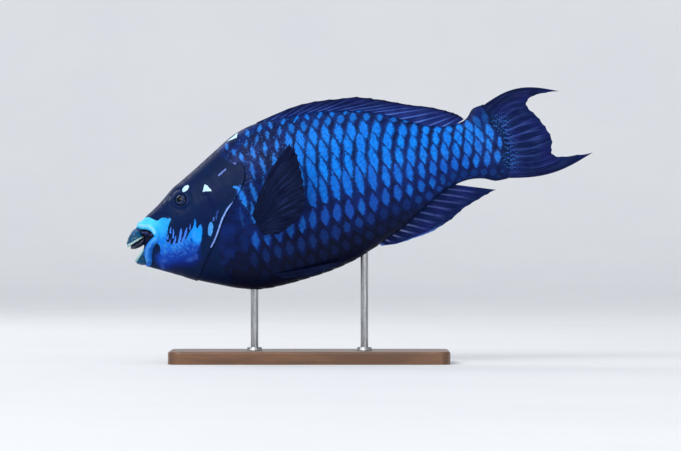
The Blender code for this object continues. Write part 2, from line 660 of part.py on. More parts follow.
def pectoral_fin(name, side):
    root_line, margin = path(PECTORAL_ROOT), path(PECTORAL_MARGIN)

    def surface(across, out):
        x, z = root_line(across)
        root, outward = skin_point(x, z, side, trunk_lift(x, z) + PECTORAL_ROOT_OFF)
        tip = margin(across)
        reach = math.hypot(tip[0] - x, tip[1] - z)
        bow = (1 - across) * math.sin(math.pi * out)
        place = np.array([x, z]) + (tip - np.array([x, z])) * out
        away = reach * PECTORAL_SPREAD * out + PECTORAL_CUP * math.sin(math.pi * out)
        root_share = (1 - out) ** 2
        return (
            place[0] - PECTORAL_BOW_FORWARD * bow + (root.x - x) * root_share,
            root.y + side * away,
            place[1] + PECTORAL_BOW * bow + (root.z - z) * root_share,
        )

    return fin(name, surface, PECTORAL_RAYS, PECTORAL_THICK, steps=5)


def pelvic_fin(name, side):
    root_line, margin = path(PELVIC_ROOT), path(PELVIC_MARGIN)

    def surface(across, out):
        x, z = root_line(across)
        place = np.array([x, z]) + (margin(across) - np.array([x, z])) * out
        over_scales = SCALE_LIFT * fade(out, 0.0, PELVIC_OVER_SCALES)
        stand_off = PELVIC_ROOT_OFF + over_scales + PELVIC_STAND_OFF * out
        return skin_point(place[0], place[1], side, stand_off)[0]

    return fin(name, surface, PELVIC_RAYS, PELVIC_THICK, steps=5)


def pose_matrix():
    """Tips the level fish nose down and sets it over the stand, centred lengthways on X = 0."""
    tip = Matrix.Rotation(-NOSE_DOWN, 4, "Y")
    along = np.linspace(BELLY[0][0], BELLY[-1][0], 200)
    lowest = min((tip @ Vector((x, 0.0, belly(x)))).z for x in along)
    snout = (tip @ Vector((UPPER_BEAK_TIP[0], 0.0, UPPER_BEAK_TIP[1]))).x
    tail = (tip @ Vector((TAIL_MARGIN[-1][0], 0.0, TAIL_MARGIN[-1][1]))).x
    height = BASE_THICK + BELLY_CLEARANCE - lowest
    return Matrix.Translation((-(snout + tail) / 2, 0.0, height)) @ tip


def stand(pose, fish):
    """Flat base and two short rods, each cut to the belly that it carries."""
    feet = [(name, (pose @ Vector((x, 0.0, belly(x)))).x) for name, x in RODS]
    middle = sum(x for _, x in feet) / len(feet)
    build = bmesh.new()
    bmesh.ops.create_cube(build, size=1.0)
    size = Matrix.Diagonal((BASE_LENGTH, BASE_WIDTH, BASE_THICK, 1.0))
    bmesh.ops.transform(build, matrix=size, verts=build.verts)
    upright = [e for e in build.edges if abs(e.verts[0].co.z - e.verts[1].co.z) > BASE_THICK / 2]
    bmesh.ops.bevel(build, geom=upright, offset=BASE_CORNER, segments=5, profile=0.5, affect="EDGES")
    top = [e for e in build.edges if all(v.co.z > 0 for v in e.verts)]
    bmesh.ops.bevel(build, geom=top, offset=BASE_EDGE, segments=2, profile=0.5, affect="EDGES")
    mesh = bpy.data.meshes.new("stand_base")
    bmesh.ops.translate(build, verts=build.verts, vec=(middle, 0.0, BASE_THICK / 2))
    build.to_mesh(mesh)
    build.free()
    pieces = [new_object("stand_base", mesh)]
    under = BVHTree.FromPolygons(
        [pose @ vert.co for vert in fish.data.vertices], [f.vertices[:] for f in fish.data.polygons]
    )
    foot_level = BASE_THICK + GAP
    for name, x in feet:
        build = bmesh.new()
        bmesh.ops.create_cone(
            build, cap_ends=True, cap_tris=True, segments=ROD_SIDES,
            radius1=ROD_RADIUS, radius2=ROD_RADIUS, depth=0.01,
        )
        for vert in build.verts:
            bottom = Vector((x + vert.co.x, vert.co.y, foot_level))
            hit = under.ray_cast(bottom, Vector((0, 0, 1)))[0]
            vert.co = bottom if vert.co.z < 0 else Vector((bottom.x, bottom.y, hit.z - ROD_GAP))
        mesh = bpy.data.meshes.new(name)
        build.to_mesh(mesh)
        build.free()
        rod = new_object(name, mesh)
        build = bmesh.new()
        bmesh.ops.create_cone(
            build, cap_ends=True, segments=ROD_SIDES, radius1=ROD_FOOT_RADIUS,
            radius2=ROD_FOOT_RADIUS - ROD_FOOT_THICK / 2, depth=ROD_FOOT_THICK,
        )
        bmesh.ops.translate(build, verts=build.verts, vec=(x, 0, foot_level + ROD_FOOT_THICK / 2))
        mesh = bpy.data.meshes.new("foot")
        build.to_mesh(mesh)
        build.free()
        apply_boolean(rod, "UNION", [new_object("foot", mesh)])
        pieces.append(rod)
    return pieces


def finish(piece, look_name, sharp_from=SHARP_FROM):
    """Gives a piece its own material and shades its round faces smooth."""
    colour, roughness, metallic = LOOKS[look_name]
    look = bpy.data.materials.new(piece.name)
    look.use_nodes = True
    shader = look.node_tree.nodes["Principled BSDF"]
    shader.inputs["Base Color"].default_value = (*colour, 1.0)
    shader.inputs["Roughness"].default_value = roughness
    shader.inputs["Metallic"].default_value = metallic
    piece.data.materials.clear()
    piece.data.materials.append(look)
    piece.data.shade_smooth()
    piece.data.set_sharp_from_angle(angle=math.radians(sharp_from))


def main():
    for thing in list(bpy.data.objects):
        bpy.data.objects.remove(thing)
    eyes = [eye("eye_left", -1), eye("eye_right", 1)]
    beaks = [
        beak("beak_upper", UPPER_BEAK, UPPER_BEAK_TIP, UPPER_BEAK_SLOPE),
        beak("beak_lower", LOWER_BEAK, LOWER_BEAK_TIP, LOWER_BEAK_SLOPE),
    ]
    body = {"head": head(beaks, eyes), "trunk": trunk(), "tail_stem": tail_stem()}
    fins = [dorsal_fin(), anal_fin()]
    fins += [tail_fin(*part) for part in TAIL_PARTS]
    for word, side in (("left", -1), ("right", 1)):
        fins += [pectoral_fin(f"pectoral_fin_{word}", side), pelvic_fin(f"pelvic_fin_{word}", side)]

    pose = bpy.data.objects.new("swimming_pose", None)
    bpy.context.scene.collection.objects.link(pose)
    pose.matrix_world = pose_matrix()
    for piece in [*eyes, *beaks, *body.values(), *fins]:
        piece.parent = pose
    base, *rods = stand(pose_matrix(), body["trunk"])

    finish(body["head"], "head")
    for name in ("trunk", "tail_stem"):
        finish(body[name], name, SCALE_SHARP_FROM)
    for look_name, pieces in (("eye", eyes), ("beak", beaks), ("fin", fins), ("rod", rods)):
        for piece in pieces:
            finish(piece, look_name)
    finish(base, "base")

    model = bpy.data.collections.new("parrotfish")
    bpy.context.scene.collection.children.link(model)
    for piece in list(bpy.context.scene.objects):
        move_to(model, piece)


main()
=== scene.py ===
"""Midnight parrotfish on its display stand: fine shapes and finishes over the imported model.

The fish is shaped level, in its own frame: X runs from the mouth to the tail, Y across the body
and Z up, in metres, with its left side facing -Y. pose_matrix then tips it nose down over the
stand. Shapes come in a side view, as (X, Z) points. Marks on the skin, and the tables that metres()
reads, are in millimetres.
"""

import json
import math

import bmesh
import bpy
import numpy as np
from mathutils import Matrix, Vector

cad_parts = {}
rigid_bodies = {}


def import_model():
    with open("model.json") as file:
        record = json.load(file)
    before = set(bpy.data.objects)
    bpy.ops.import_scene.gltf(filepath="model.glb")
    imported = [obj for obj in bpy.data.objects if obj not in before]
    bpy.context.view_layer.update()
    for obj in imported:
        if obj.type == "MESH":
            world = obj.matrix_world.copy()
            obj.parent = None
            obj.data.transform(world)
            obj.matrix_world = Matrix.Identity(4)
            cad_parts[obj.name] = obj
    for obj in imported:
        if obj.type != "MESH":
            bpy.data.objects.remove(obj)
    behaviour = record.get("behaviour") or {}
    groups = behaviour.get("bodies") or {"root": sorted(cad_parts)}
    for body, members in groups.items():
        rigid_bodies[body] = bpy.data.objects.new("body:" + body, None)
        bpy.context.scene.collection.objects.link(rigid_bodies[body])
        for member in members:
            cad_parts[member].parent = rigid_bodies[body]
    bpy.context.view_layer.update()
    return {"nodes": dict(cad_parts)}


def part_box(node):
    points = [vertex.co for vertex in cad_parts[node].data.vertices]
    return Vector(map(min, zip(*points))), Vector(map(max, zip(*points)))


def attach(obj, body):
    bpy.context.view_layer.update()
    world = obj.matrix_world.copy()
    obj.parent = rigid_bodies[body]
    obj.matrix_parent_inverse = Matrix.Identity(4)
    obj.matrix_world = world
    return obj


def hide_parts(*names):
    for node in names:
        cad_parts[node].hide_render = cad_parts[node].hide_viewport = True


bl_info = {
    "name": "Parrotfish Display Model",
    "version": (1, 0, 0),
    "blender": (4, 5, 0),
    "location": "3D View > Sidebar > Parrotfish",
    "description": "Builds the skin, scales, fins, beak, eyes and stand of a display parrotfish",
    "category": "Object",
}

for thing in list(bpy.data.objects):
    bpy.data.objects.remove(thing)
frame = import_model()

MM = 1000  # millimetres in a metre


def metres(rows):
    """Points in metres, from points in millimetres."""
    return [tuple(value / MM for value in row) for row in rows]


NOSE_DOWN = math.radians(15.5)
BASE_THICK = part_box("stand_base")[1].z
BELLY_CLEARANCE = 0.072

# Body, as side outline, half width, height of the widest place and fullness of the section
BACK = metres([
    (4, 18.5), (10, 22.5), (20, 28), (40, 39), (60, 51.5), (90, 66.5), (120, 81.5), (145, 93.5),
    (170, 99.5), (200, 98.5), (240, 95.5), (280, 87), (320, 72.5), (350, 54.5), (375, 41.5),
    (400, 36), (420, 38.5), (441, 48.5), (456, 50),
])
BELLY = metres([
    (4, -26), (10, -30), (20, -36), (40, -48), (60, -60), (80, -70), (100, -80), (120, -87.5),
    (145, -91.5), (180, -92), (220, -90), (245, -86), (275, -77), (310, -65), (350, -45),
    (375, -34.5), (400, -31), (420, -34), (441, -41), (456, -42),
])
HALF_WIDTH = metres([
    (4, 10), (10, 13.5), (20, 18), (40, 26.2), (67, 32), (100, 37), (140, 40), (180, 41),
    (230, 39), (280, 32.5), (330, 23.5), (380, 15), (420, 9), (441, 5.2), (456, 3),
])
WIDEST_HEIGHT = metres([(4, -2), (60, 2), (150, 10), (300, 7), (456, 2)])
BACK_FULLNESS = [(0.004, 0.90), (0.080, 1.00), (0.160, 1.16), (0.360, 1.12), (0.456, 1.00)]
BELLY_FULLNESS = [(0.004, 0.95), (0.080, 1.05), (0.160, 0.92), (0.300, 0.95), (0.456, 1.00)]
TAIL_STEM_FROM, STEM_BEND_AFTER = 0.362, 0.020
STEM_END_MIDDLE, STEM_END_EDGE, STEM_END_HALF_HEIGHT = 0.4555, 0.0145, 0.047

# Gill cover's free edge, as (Z, X)
GILL_EDGE = metres([
    (-100, 40), (-75, 50), (-52, 66), (-34, 81), (-17, 96), (1, 110), (14, 122), (27, 136),
    (40, 146), (53, 148.5), (68, 142), (85, 130), (110, 118),
])
GILL_LIFT, GILL_LIFT_REACH = 0.0018, 0.014
GILL_HOLLOW, GILL_HOLLOW_REACH = 0.0008, 0.010
GILL_FREE_BOTTOM, GILL_FREE_TOP = (-0.075, -0.045), (0.046, 0.066)
GILL_THROAT_X = 0.056

# Mouth: the line of the lips from the middle of the upper jaw, round the corner, to the chin
UPPER_LIP_MIDDLE, LOWER_LIP_MIDDLE = (0.0130, 0.0212), (0.0105, -0.0262)
LIP_LINE = metres([
    (15.5, 21), (20.5, 19.5), (26.2, 14.8), (28.7, 8.5), (28.8, 1.4), (21.5, -4), (16, -8.5),
    (12.8, -14.5), (11.8, -21),
])
LIP_CORNER = 4
LIP_RADIUS, LIP_END_RADIUS, LIP_SINK = 0.0042, 0.0027, 0.0010
LIP_HEIGHT, LIP_AWAY = 0.90, 1.45
# Edge of the mouth's skin on the beaks, as (X, Z, half width)
GUM_LINE = metres([
    (4, 15.8, 0), (4.8, 15.8, 7), (6.5, 15.7, 10.8), (9.5, 13.6, 10.6), (11.2, 10.5, 10),
    (12.6, 7.5, 9.8), (13.2, 4.6, 10.2), (11.8, 1.2, 11.2), (10.8, -2.8, 11.2), (9.6, -6.8, 11),
    (8.4, -11.2, 11.1), (7.4, -15.6, 12.2), (6.9, -20, 11.3), (6.4, -24.3, 7.6), (5, -26.6, 0),
])
GUM_CORNER = 7
THROAT_AT, THROAT_HALF_HEIGHT, THROAT_HALF_WIDTH = (0.0330, 0.0012), 0.0020, 0.0100

# Beak: cutting edge's tip and slope, then height of each slice off the edge, its front, its
# half width and its back, measured along the slope from the tip
UPPER_BEAK_TIP, UPPER_BEAK_SLOPE = (-0.0092, 0.0003), math.radians(14.5)
UPPER_BEAK = metres([
    (0, 0, 13.6, 23), (4.2, 1.8, 13.9, 23.8), (8.4, 6, 13, 23.8), (12, 11.8, 10.6, 23.8),
    (14, 16, 7.2, 23),
])
LOWER_BEAK_TIP, LOWER_BEAK_SLOPE = (-0.0050, -0.0187), math.radians(41)
LOWER_BEAK = metres([
    (0, 0, 11.8, 20), (-3.6, -0.8, 12.3, 20.5), (-7.5, 0, 11.5, 20.5), (-11.2, 2, 9.4, 20),
    (-14, 5.8, 6.2, 18.5),
])
BEAK_SIDES, BEAK_SLICES = 96, 26
BEAK_WALL, BEAK_CUP = 0.0024, 0.0045
# Rings inside the cutting edge, as shares of the wall and of the cup's depth
BEAK_INSIDE = ((0.55, -0.045), (0.80, 0.60), (0.93, 0.93), (1.0, 0.975))
BEAK_ALONG_POWER, BEAK_ACROSS_POWER = 0.8, 0.9
TONGUE_AT, TONGUE_SLOPE, TONGUE_SIZE = (0.0060, 0.0008), math.radians(15), (0.0125, 0.0090, 0.0046)
TONGUE_GROOVE = 0.16  # depth and half width, as shares of its size

# Eyes and nostrils
EYE_AT = (0.067, 0.037)
EYE_RADIUS, EYE_BULGE, EYE_SINK = 0.0078, 0.0048, 0.0026
CORNEA_DOME, CORNEA_WIDE, PUPIL_FORWARD = 0.10, 0.55, 0.10  # as shares of the eye's radius
PUPIL_LOOK = Vector((-1.0, 0.0, 0.12))
EYE_RIM_RADIUS, EYE_RIM_HEIGHT, EYE_RIM_WIDTH = 0.0086, 0.0013, 0.0014
EYE_FOLD_RADIUS, EYE_FOLD_DEPTH, EYE_FOLD_WIDTH = 0.0122, 0.0006, 0.0016
EYE_SOCKET_DEPTH, EYE_SOCKET_EDGE = 0.0052, (0.0066, 0.0079)
NOSTRILS = [((0.0475, 0.0385), 0.0013), ((0.0540, 0.0415), 0.0017)]

# Scales: each row's height along the body, from the back to the belly, and the columns' places
SCALE_ROWS = [metres(row) for row in [
    [(130, 80), (150, 88), (190, 93), (230, 91.5), (270, 85), (300, 80), (330, 70)],
    [(130, 70), (160, 79), (187, 83), (230, 81), (260, 79), (288, 76), (302, 72.5), (317, 68),
     (343, 56), (360, 49)],
    [(130, 59), (150, 66), (177, 68), (222, 67), (251, 65), (280, 60.5), (310, 55), (337, 45.5),
     (366, 39), (385, 34), (410, 29), (445, 34)],
    [(130, 40), (150, 46), (172, 50), (216, 50), (243, 46.5), (273, 45), (303, 41), (333, 32.5),
     (346, 28.5), (373, 26), (398, 20), (411, 17.5), (445, 17)],
    [(130, 18), (150, 22), (180, 26), (224, 26), (251, 25), (282, 22.5), (312, 20), (340, 13),
     (366, 10), (391, 6), (417, 3), (447, 0.5)],
    [(110, -3), (216, 0), (246, 2.5), (277, 1.5), (305, -3), (334, -5), (361, -8), (387, -10),
     (412, -11.5), (445, -14)],
    [(95, -30), (130, -32), (176, -32), (208, -27.5), (241, -28), (272, -29), (300, -25),
     (327, -24.5), (355, -24), (385, -23), (412, -25.5), (445, -32)],
    [(80, -52), (130, -54), (165, -52), (216, -50), (250, -46), (285, -44), (320, -41), (345, -38)],
    [(80, -62), (120, -72), (160, -74), (200, -71.5), (240, -67), (275, -62), (310, -55)],
]]
BELLY_ROWS = (0.45, 0.85)
COLUMN_AT = [(-11.0, 0.099), (-9.0, 0.128), (0.0, 0.258), (5.0, 0.3325), (9.0, 0.3855),
             (13.0, 0.4375), (14.0, 0.4500)]
FIRST_COLUMN, LAST_COLUMN = -11, 14

# Fins: root and margin are side views, in order from the first ray to the last
DORSAL_FROM, DORSAL_TO, DORSAL_SPINES, DORSAL_RAYS = 0.1735, 0.4015, 9, 19
DORSAL_SWEEP = 0.075  # share of its length that the fin's rays lean back at each end
DORSAL_MARGIN = metres([
    (178, 101.2), (200, 104.5), (222, 107.2), (240, 107.5), (260, 105.5), (280, 102), (300, 98.5),
    (320, 90.5), (340, 81), (360, 71.5), (380, 63.5), (400, 52.5), (409, 46), (414, 39.5),
])
ANAL_FROM, ANAL_TO, ANAL_SPINES, ANAL_RAYS = 0.2765, 0.3820, 3, 12
ANAL_MARGIN = metres([
    (281, -79), (300, -81.5), (320, -80.5), (340, -79), (355, -75), (370, -70), (385, -62.5),
    (400, -58), (415, -54), (428, -51),
])
TAIL_RAYS = 15
TAIL_ROOT_TOP, TAIL_ROOT_BOTTOM = 0.0480, -0.0405
TAIL_BOW_TOP, TAIL_BOW_BOTTOM = 0.0130, -0.0100
TAIL_MARGIN = metres([
    (531, 41), (514, 43.5), (499, 43.5), (490.5, 38.5), (491, 31), (497, 22), (502, 11), (506, 0),
    (508, -11), (505, -21), (504, -28), (512, -33.5), (530, -36.5), (550, -39),
])
PECTORAL_RAYS = 14
PECTORAL_ROOT = metres([(144, -4), (146.5, -12), (148.5, -20), (150.5, -29)])
PECTORAL_MARGIN = metres([
    (209, 65), (213.5, 53), (213.5, 38), (212.5, 20), (210, 3), (205, -12), (195, -21), (182, -28),
    (168, -33),
])
PECTORAL_ROOT_OFF = 0.0016
PECTORAL_SPREAD, PECTORAL_CUP = 0.42, 0.0045
PECTORAL_BOW, PECTORAL_BOW_FORWARD = 0.0060, 0.0024
PECTORAL_BASE_AT, PECTORAL_BASE_LIFT, PECTORAL_BASE_REACH = (0.1470, -0.0170), 0.0030, 0.013
PELVIC_SPINES, PELVIC_RAYS = 1, 6
PELVIC_ROOT = metres([(150, -76.5), (154, -80), (158, -83)])
PELVIC_MARGIN = metres([(232, -80), (224, -82.5), (210, -84.5), (194, -86.2)])
PELVIC_ROOT_OFF, PELVIC_STAND_OFF, PELVIC_OVER_SCALES = 0.0008, 0.0045, 0.0014
BARE_SKIN_REACH = 0.011

# Picture: the frame's size in pixels, the real size of a pixel, and where the level fish's own
# origin lies in it
FRAME_WIDE, FRAME_HIGH, PIXEL = 681, 451, 0.00118
ORIGIN_PIXEL = (135, 245)
SENSOR_WIDE = 36.0


def smooth(points):
    """A function that reads a smooth curve through (place, value) points."""
    at, value = np.array(points, float).T
    slope = np.gradient(value, at)

    def read(x):
        x = np.clip(x, at[0], at[-1])
        i = np.clip(np.searchsorted(at, x) - 1, 0, len(at) - 2)
        step = at[i + 1] - at[i]
        t = (x - at[i]) / step
        near = (1 + 2 * t) * value[i] + t * step * slope[i]
        far = (3 - 2 * t) * value[i + 1] - (1 - t) * step * slope[i + 1]
        return near * (1 - t) ** 2 + far * t**2

    return read


def path(points):
    """A function that gives the points at shares, from 0 to 1, of the way along a smooth line."""
    points = np.array(points, float)
    along = np.linspace(0.0, 1.0, len(points))
    axes = [smooth(np.column_stack([along, column])) for column in points.T]
    return lambda share: np.stack([axis(share) for axis in axes], axis=-1)


def fade(value, start, end):
    """0 before start and 1 past end, with a soft change between them."""
    t = np.clip((value - start) / (end - start), 0.0, 1.0)
    return t * t * (3 - 2 * t)


def bell(away, width=1.0):
    """1 at 0, and close to 0 past twice this width."""
    return np.exp(-((away / width) ** 2))


def oval(x, z, middle, half):
    """Distance from an oval's middle, as a share of its half length and half height."""
    return np.hypot((x - middle[0]) / half[0], (z - middle[1]) / half[1])


def unit(vectors):
    return vectors / np.maximum(np.linalg.norm(vectors, axis=-1, keepdims=True), 1e-12)


SECTION_STEPS = 361
back, belly, half_width = smooth(BACK), smooth(BELLY), smooth(HALF_WIDTH)
widest_height = smooth(WIDEST_HEIGHT)
back_fullness, belly_fullness = smooth(BACK_FULLNESS), smooth(BELLY_FULLNESS)
gill_edge = smooth(GILL_EDGE)


def half_section(x, count):
    """(Y, Z) points of one side of the body at x, from the back to the belly, evenly spaced."""
    turn = np.linspace(0.0, math.pi, SECTION_STEPS)
    middle = widest_height(x)
    upper = turn < math.pi / 2
    reach = np.where(upper, back(x) - middle, middle - belly(x))
    power = np.where(upper, back_fullness(x), belly_fullness(x))
    side = half_width(x) * np.maximum(np.sin(turn), 0.0) ** power
    up = middle + reach * np.cos(turn)
    length = np.concatenate([[0.0], np.cumsum(np.hypot(np.diff(side), np.diff(up)))])
    even = np.linspace(0.0, length[-1], count + 1)
    return np.column_stack([np.interp(even, length, side), np.interp(even, length, up)]), length[-1]


def skin_side(x, z):
    """Half width of the body at a point of its side view."""
    middle = widest_height(x)
    top = z >= middle
    reach = np.where(top, back(x) - middle, middle - belly(x))
    power = np.where(top, back_fullness(x), belly_fullness(x))
    share = np.clip(np.abs(z - middle) / reach, 0.0, 1.0)
    return half_width(x) * np.sqrt(1 - share**2) ** power


def skin_point(x, z, side=-1, stand_off=0.0):
    """Points on the body's skin, or this far off it, and the skin's outward direction there."""
    step = 0.001
    slope_x = (skin_side(x + step, z) - skin_side(x - step, z)) / (2 * step)
    slope_z = (skin_side(x, z + step) - skin_side(x, z - step)) / (2 * step)
    outward = unit(np.stack([-slope_x, np.ones_like(slope_x), -slope_z], axis=-1))
    point = np.stack([x + 0 * slope_x, skin_side(x, z), z + 0 * slope_x], axis=-1)
    point = point + outward * np.asarray(stand_off)[..., None]
    turn = np.array([1.0, side, 1.0])
    return point * turn, outward * turn


class BodyForm:
    """The body's left surface, read at any station and share of the way from back to belly."""

    STATIONS, SHARES = 640, 320

    def __init__(self):
        self.x = np.linspace(BACK[0][0], BACK[-1][0], self.STATIONS)
        sections = [half_section(x, self.SHARES) for x in self.x]
        self.half = np.array([points for points, _ in sections])
        self.girth = np.array([length for _, length in sections])

    def at(self, x, share):
        """(X, Y, Z) points of the left side, with Y below 0."""
        x, share = np.broadcast_arrays(np.asarray(x, float), np.asarray(share, float))
        i = np.clip((x - self.x[0]) / (self.x[1] - self.x[0]), 0, self.STATIONS - 1.001)
        j = np.clip(share * self.SHARES, 0, self.SHARES - 0.001)
        i0, j0 = i.astype(int), j.astype(int)
        fi, fj = (i - i0)[..., None], (j - j0)[..., None]
        near = self.half[i0, j0] * (1 - fj) + self.half[i0, j0 + 1] * fj
        far = self.half[i0 + 1, j0] * (1 - fj) + self.half[i0 + 1, j0 + 1] * fj
        side, up = np.moveaxis(near * (1 - fi) + far * fi, -1, 0)
        return np.stack([x, -side, up], axis=-1)

    def outward(self, x, share):
        """Outward directions of the left side."""
        dx, ds = 0.0012, 0.004
        along = self.at(x + dx, share) - self.at(x - dx, share)
        round_it = self.at(x, np.minimum(share + ds, 1)) - self.at(x, np.maximum(share - ds, 0))
        return unit(np.cross(round_it, along))

    def share_at(self, x, place):
        """Share of the way round at x that lies nearest to (Y, Z) places of the left side."""
        found = []
        for one_x, (y, z) in zip(x, place):
            section = self.at(np.full(self.SHARES + 1, one_x), np.linspace(0, 1, self.SHARES + 1))
            found.append(np.argmin(np.hypot(section[:, 1] - y, section[:, 2] - z)) / self.SHARES)
        return np.array(found)

    def length_round(self, x):
        return np.interp(x, self.x, self.girth)


form = BodyForm()


def pose_matrix():
    """Tips the level fish nose down and sets it over the stand, centred lengthways on X = 0."""
    tip = Matrix.Rotation(-NOSE_DOWN, 4, "Y")
    along = np.linspace(BELLY[0][0], BELLY[-1][0], 200)
    lowest = min((tip @ Vector((x, 0.0, belly(x)))).z for x in along)
    snout = (tip @ Vector((UPPER_BEAK_TIP[0], 0.0, UPPER_BEAK_TIP[1]))).x
    tail = (tip @ Vector((TAIL_MARGIN[-1][0], 0.0, TAIL_MARGIN[-1][1]))).x
    lift = BASE_THICK + BELLY_CLEARANCE - lowest
    return Matrix.Translation((-(snout + tail) / 2, 0.0, lift)) @ tip


POSE = pose_matrix()
SIDES = (("left", -1), ("right", 1))


def gill_free(z):
    """1 where the gill cover's edge is free, and 0 on the nape and the throat."""
    return fade(z, *GILL_FREE_BOTTOM) * (1 - fade(z, *GILL_FREE_TOP))


def trunk_lift(x, z):
    """Hollow behind the gill cover and fleshy base of the pectoral fin."""
    behind = np.maximum(x - gill_edge(z), 0.0)
    hollow = -GILL_HOLLOW * np.exp(-behind / GILL_HOLLOW_REACH) * gill_free(z)
    away = np.hypot(x - PECTORAL_BASE_AT[0], z - PECTORAL_BASE_AT[1])
    return hollow + PECTORAL_BASE_LIFT * bell(away, PECTORAL_BASE_REACH)


# Meshes


def grid_faces(rows, columns, closed):
    """Quads of a grid of points, row after row, joined round its columns where closed."""
    faces = []
    for i in range(rows - 1):
        for j in range(columns if closed else columns - 1):
            k = (j + 1) % columns
            a, b = i * columns, (i + 1) * columns
            faces.append((a + j, a + k, b + k, b + j))
    return faces


def thick_faces(rows, columns):
    """Faces of a thin closed body: a grid of points, its far side and the rim between them."""
    size = rows * columns
    quads = grid_faces(rows, columns, False)
    faces = quads + [tuple(i + size for i in reversed(face)) for face in quads]
    rim = list(range(columns)) + [i * columns + columns - 1 for i in range(1, rows)]
    rim += [(rows - 1) * columns + i for i in range(columns - 2, -1, -1)]
    rim += [i * columns for i in range(rows - 2, 0, -1)]
    return faces + [(a, b, b + size, a + size) for a, b in zip(rim, rim[1:] + rim[:1])]


def mesh_of(name, points, faces, outwards=True):
    """Mesh from points of the level fish's frame, with its faces turned outwards."""
    mesh = bpy.data.meshes.new(name)
    mesh.from_pydata([tuple(map(float, point)) for point in points], [], faces)
    if outwards:
        build = bmesh.new()
        build.from_mesh(mesh)
        bmesh.ops.recalc_face_normals(build, faces=build.faces)
        build.to_mesh(mesh)
        build.free()
    mesh.shade_smooth()
    return mesh


def add_numbers(mesh, name, kind, values):
    """Adds an attribute with a value for each point of a mesh."""
    layer = mesh.attributes.new(name, kind, "POINT")
    word = {"FLOAT": "value", "FLOAT_VECTOR": "vector", "FLOAT_COLOR": "color"}[kind]
    layer.data.foreach_set(word, np.asarray(values, np.float32).ravel())


def read_vectors(mesh, name):
    values = np.empty(len(mesh.vertices) * 3, np.float32)
    mesh.attributes[name].data.foreach_get("vector", values)
    return values.reshape(-1, 3)


def drop_numbers(mesh, *names):
    for name in names:
        mesh.attributes.remove(mesh.attributes[name])


def add_map(mesh, places):
    """Adds the UV map named OFBake, from a place for each point."""
    layer = mesh.uv_layers.new(name="OFBake")
    corner = np.empty(len(mesh.loops), np.int32)
    mesh.loops.foreach_get("vertex_index", corner)
    layer.uv.foreach_set("vector", np.asarray(places, np.float32)[corner].ravel())


def ball(name, segments, rings, rise):
    """Ball of radius 1, with the points of its upper half raised by what rise() gives."""
    build = bmesh.new()
    bmesh.ops.create_uvsphere(build, u_segments=segments, v_segments=rings, radius=1.0)
    for vert in build.verts:
        if vert.co.z > 0:
            vert.co.z += rise(vert.co)
    mesh = bpy.data.meshes.new(name)
    build.to_mesh(mesh)
    build.free()
    mesh.shade_smooth()
    return mesh


def face_outwards(mesh):
    """Turns the faces away from the plane Y = 0, where most of them face it."""
    if sum(face.normal.y * face.center.y for face in mesh.polygons) < 0:
        mesh.flip_normals()


def put(name, data):
    """Adds an object with this mesh, lamp or lens to the scene."""
    thing = bpy.data.objects.new(name, data)
    bpy.context.scene.collection.objects.link(thing)
    return thing


def add_piece(name, mesh, material=None, replaces=()):
    """Puts a finished mesh in the scene as a piece of the model, with its place in its mesh."""
    mesh.transform(POSE)
    if material:
        mesh.materials.clear()
        mesh.materials.append(material)
    piece = put(name, mesh)
    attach(piece, "root")
    if replaces:
        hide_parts(*replaces)


# Materials


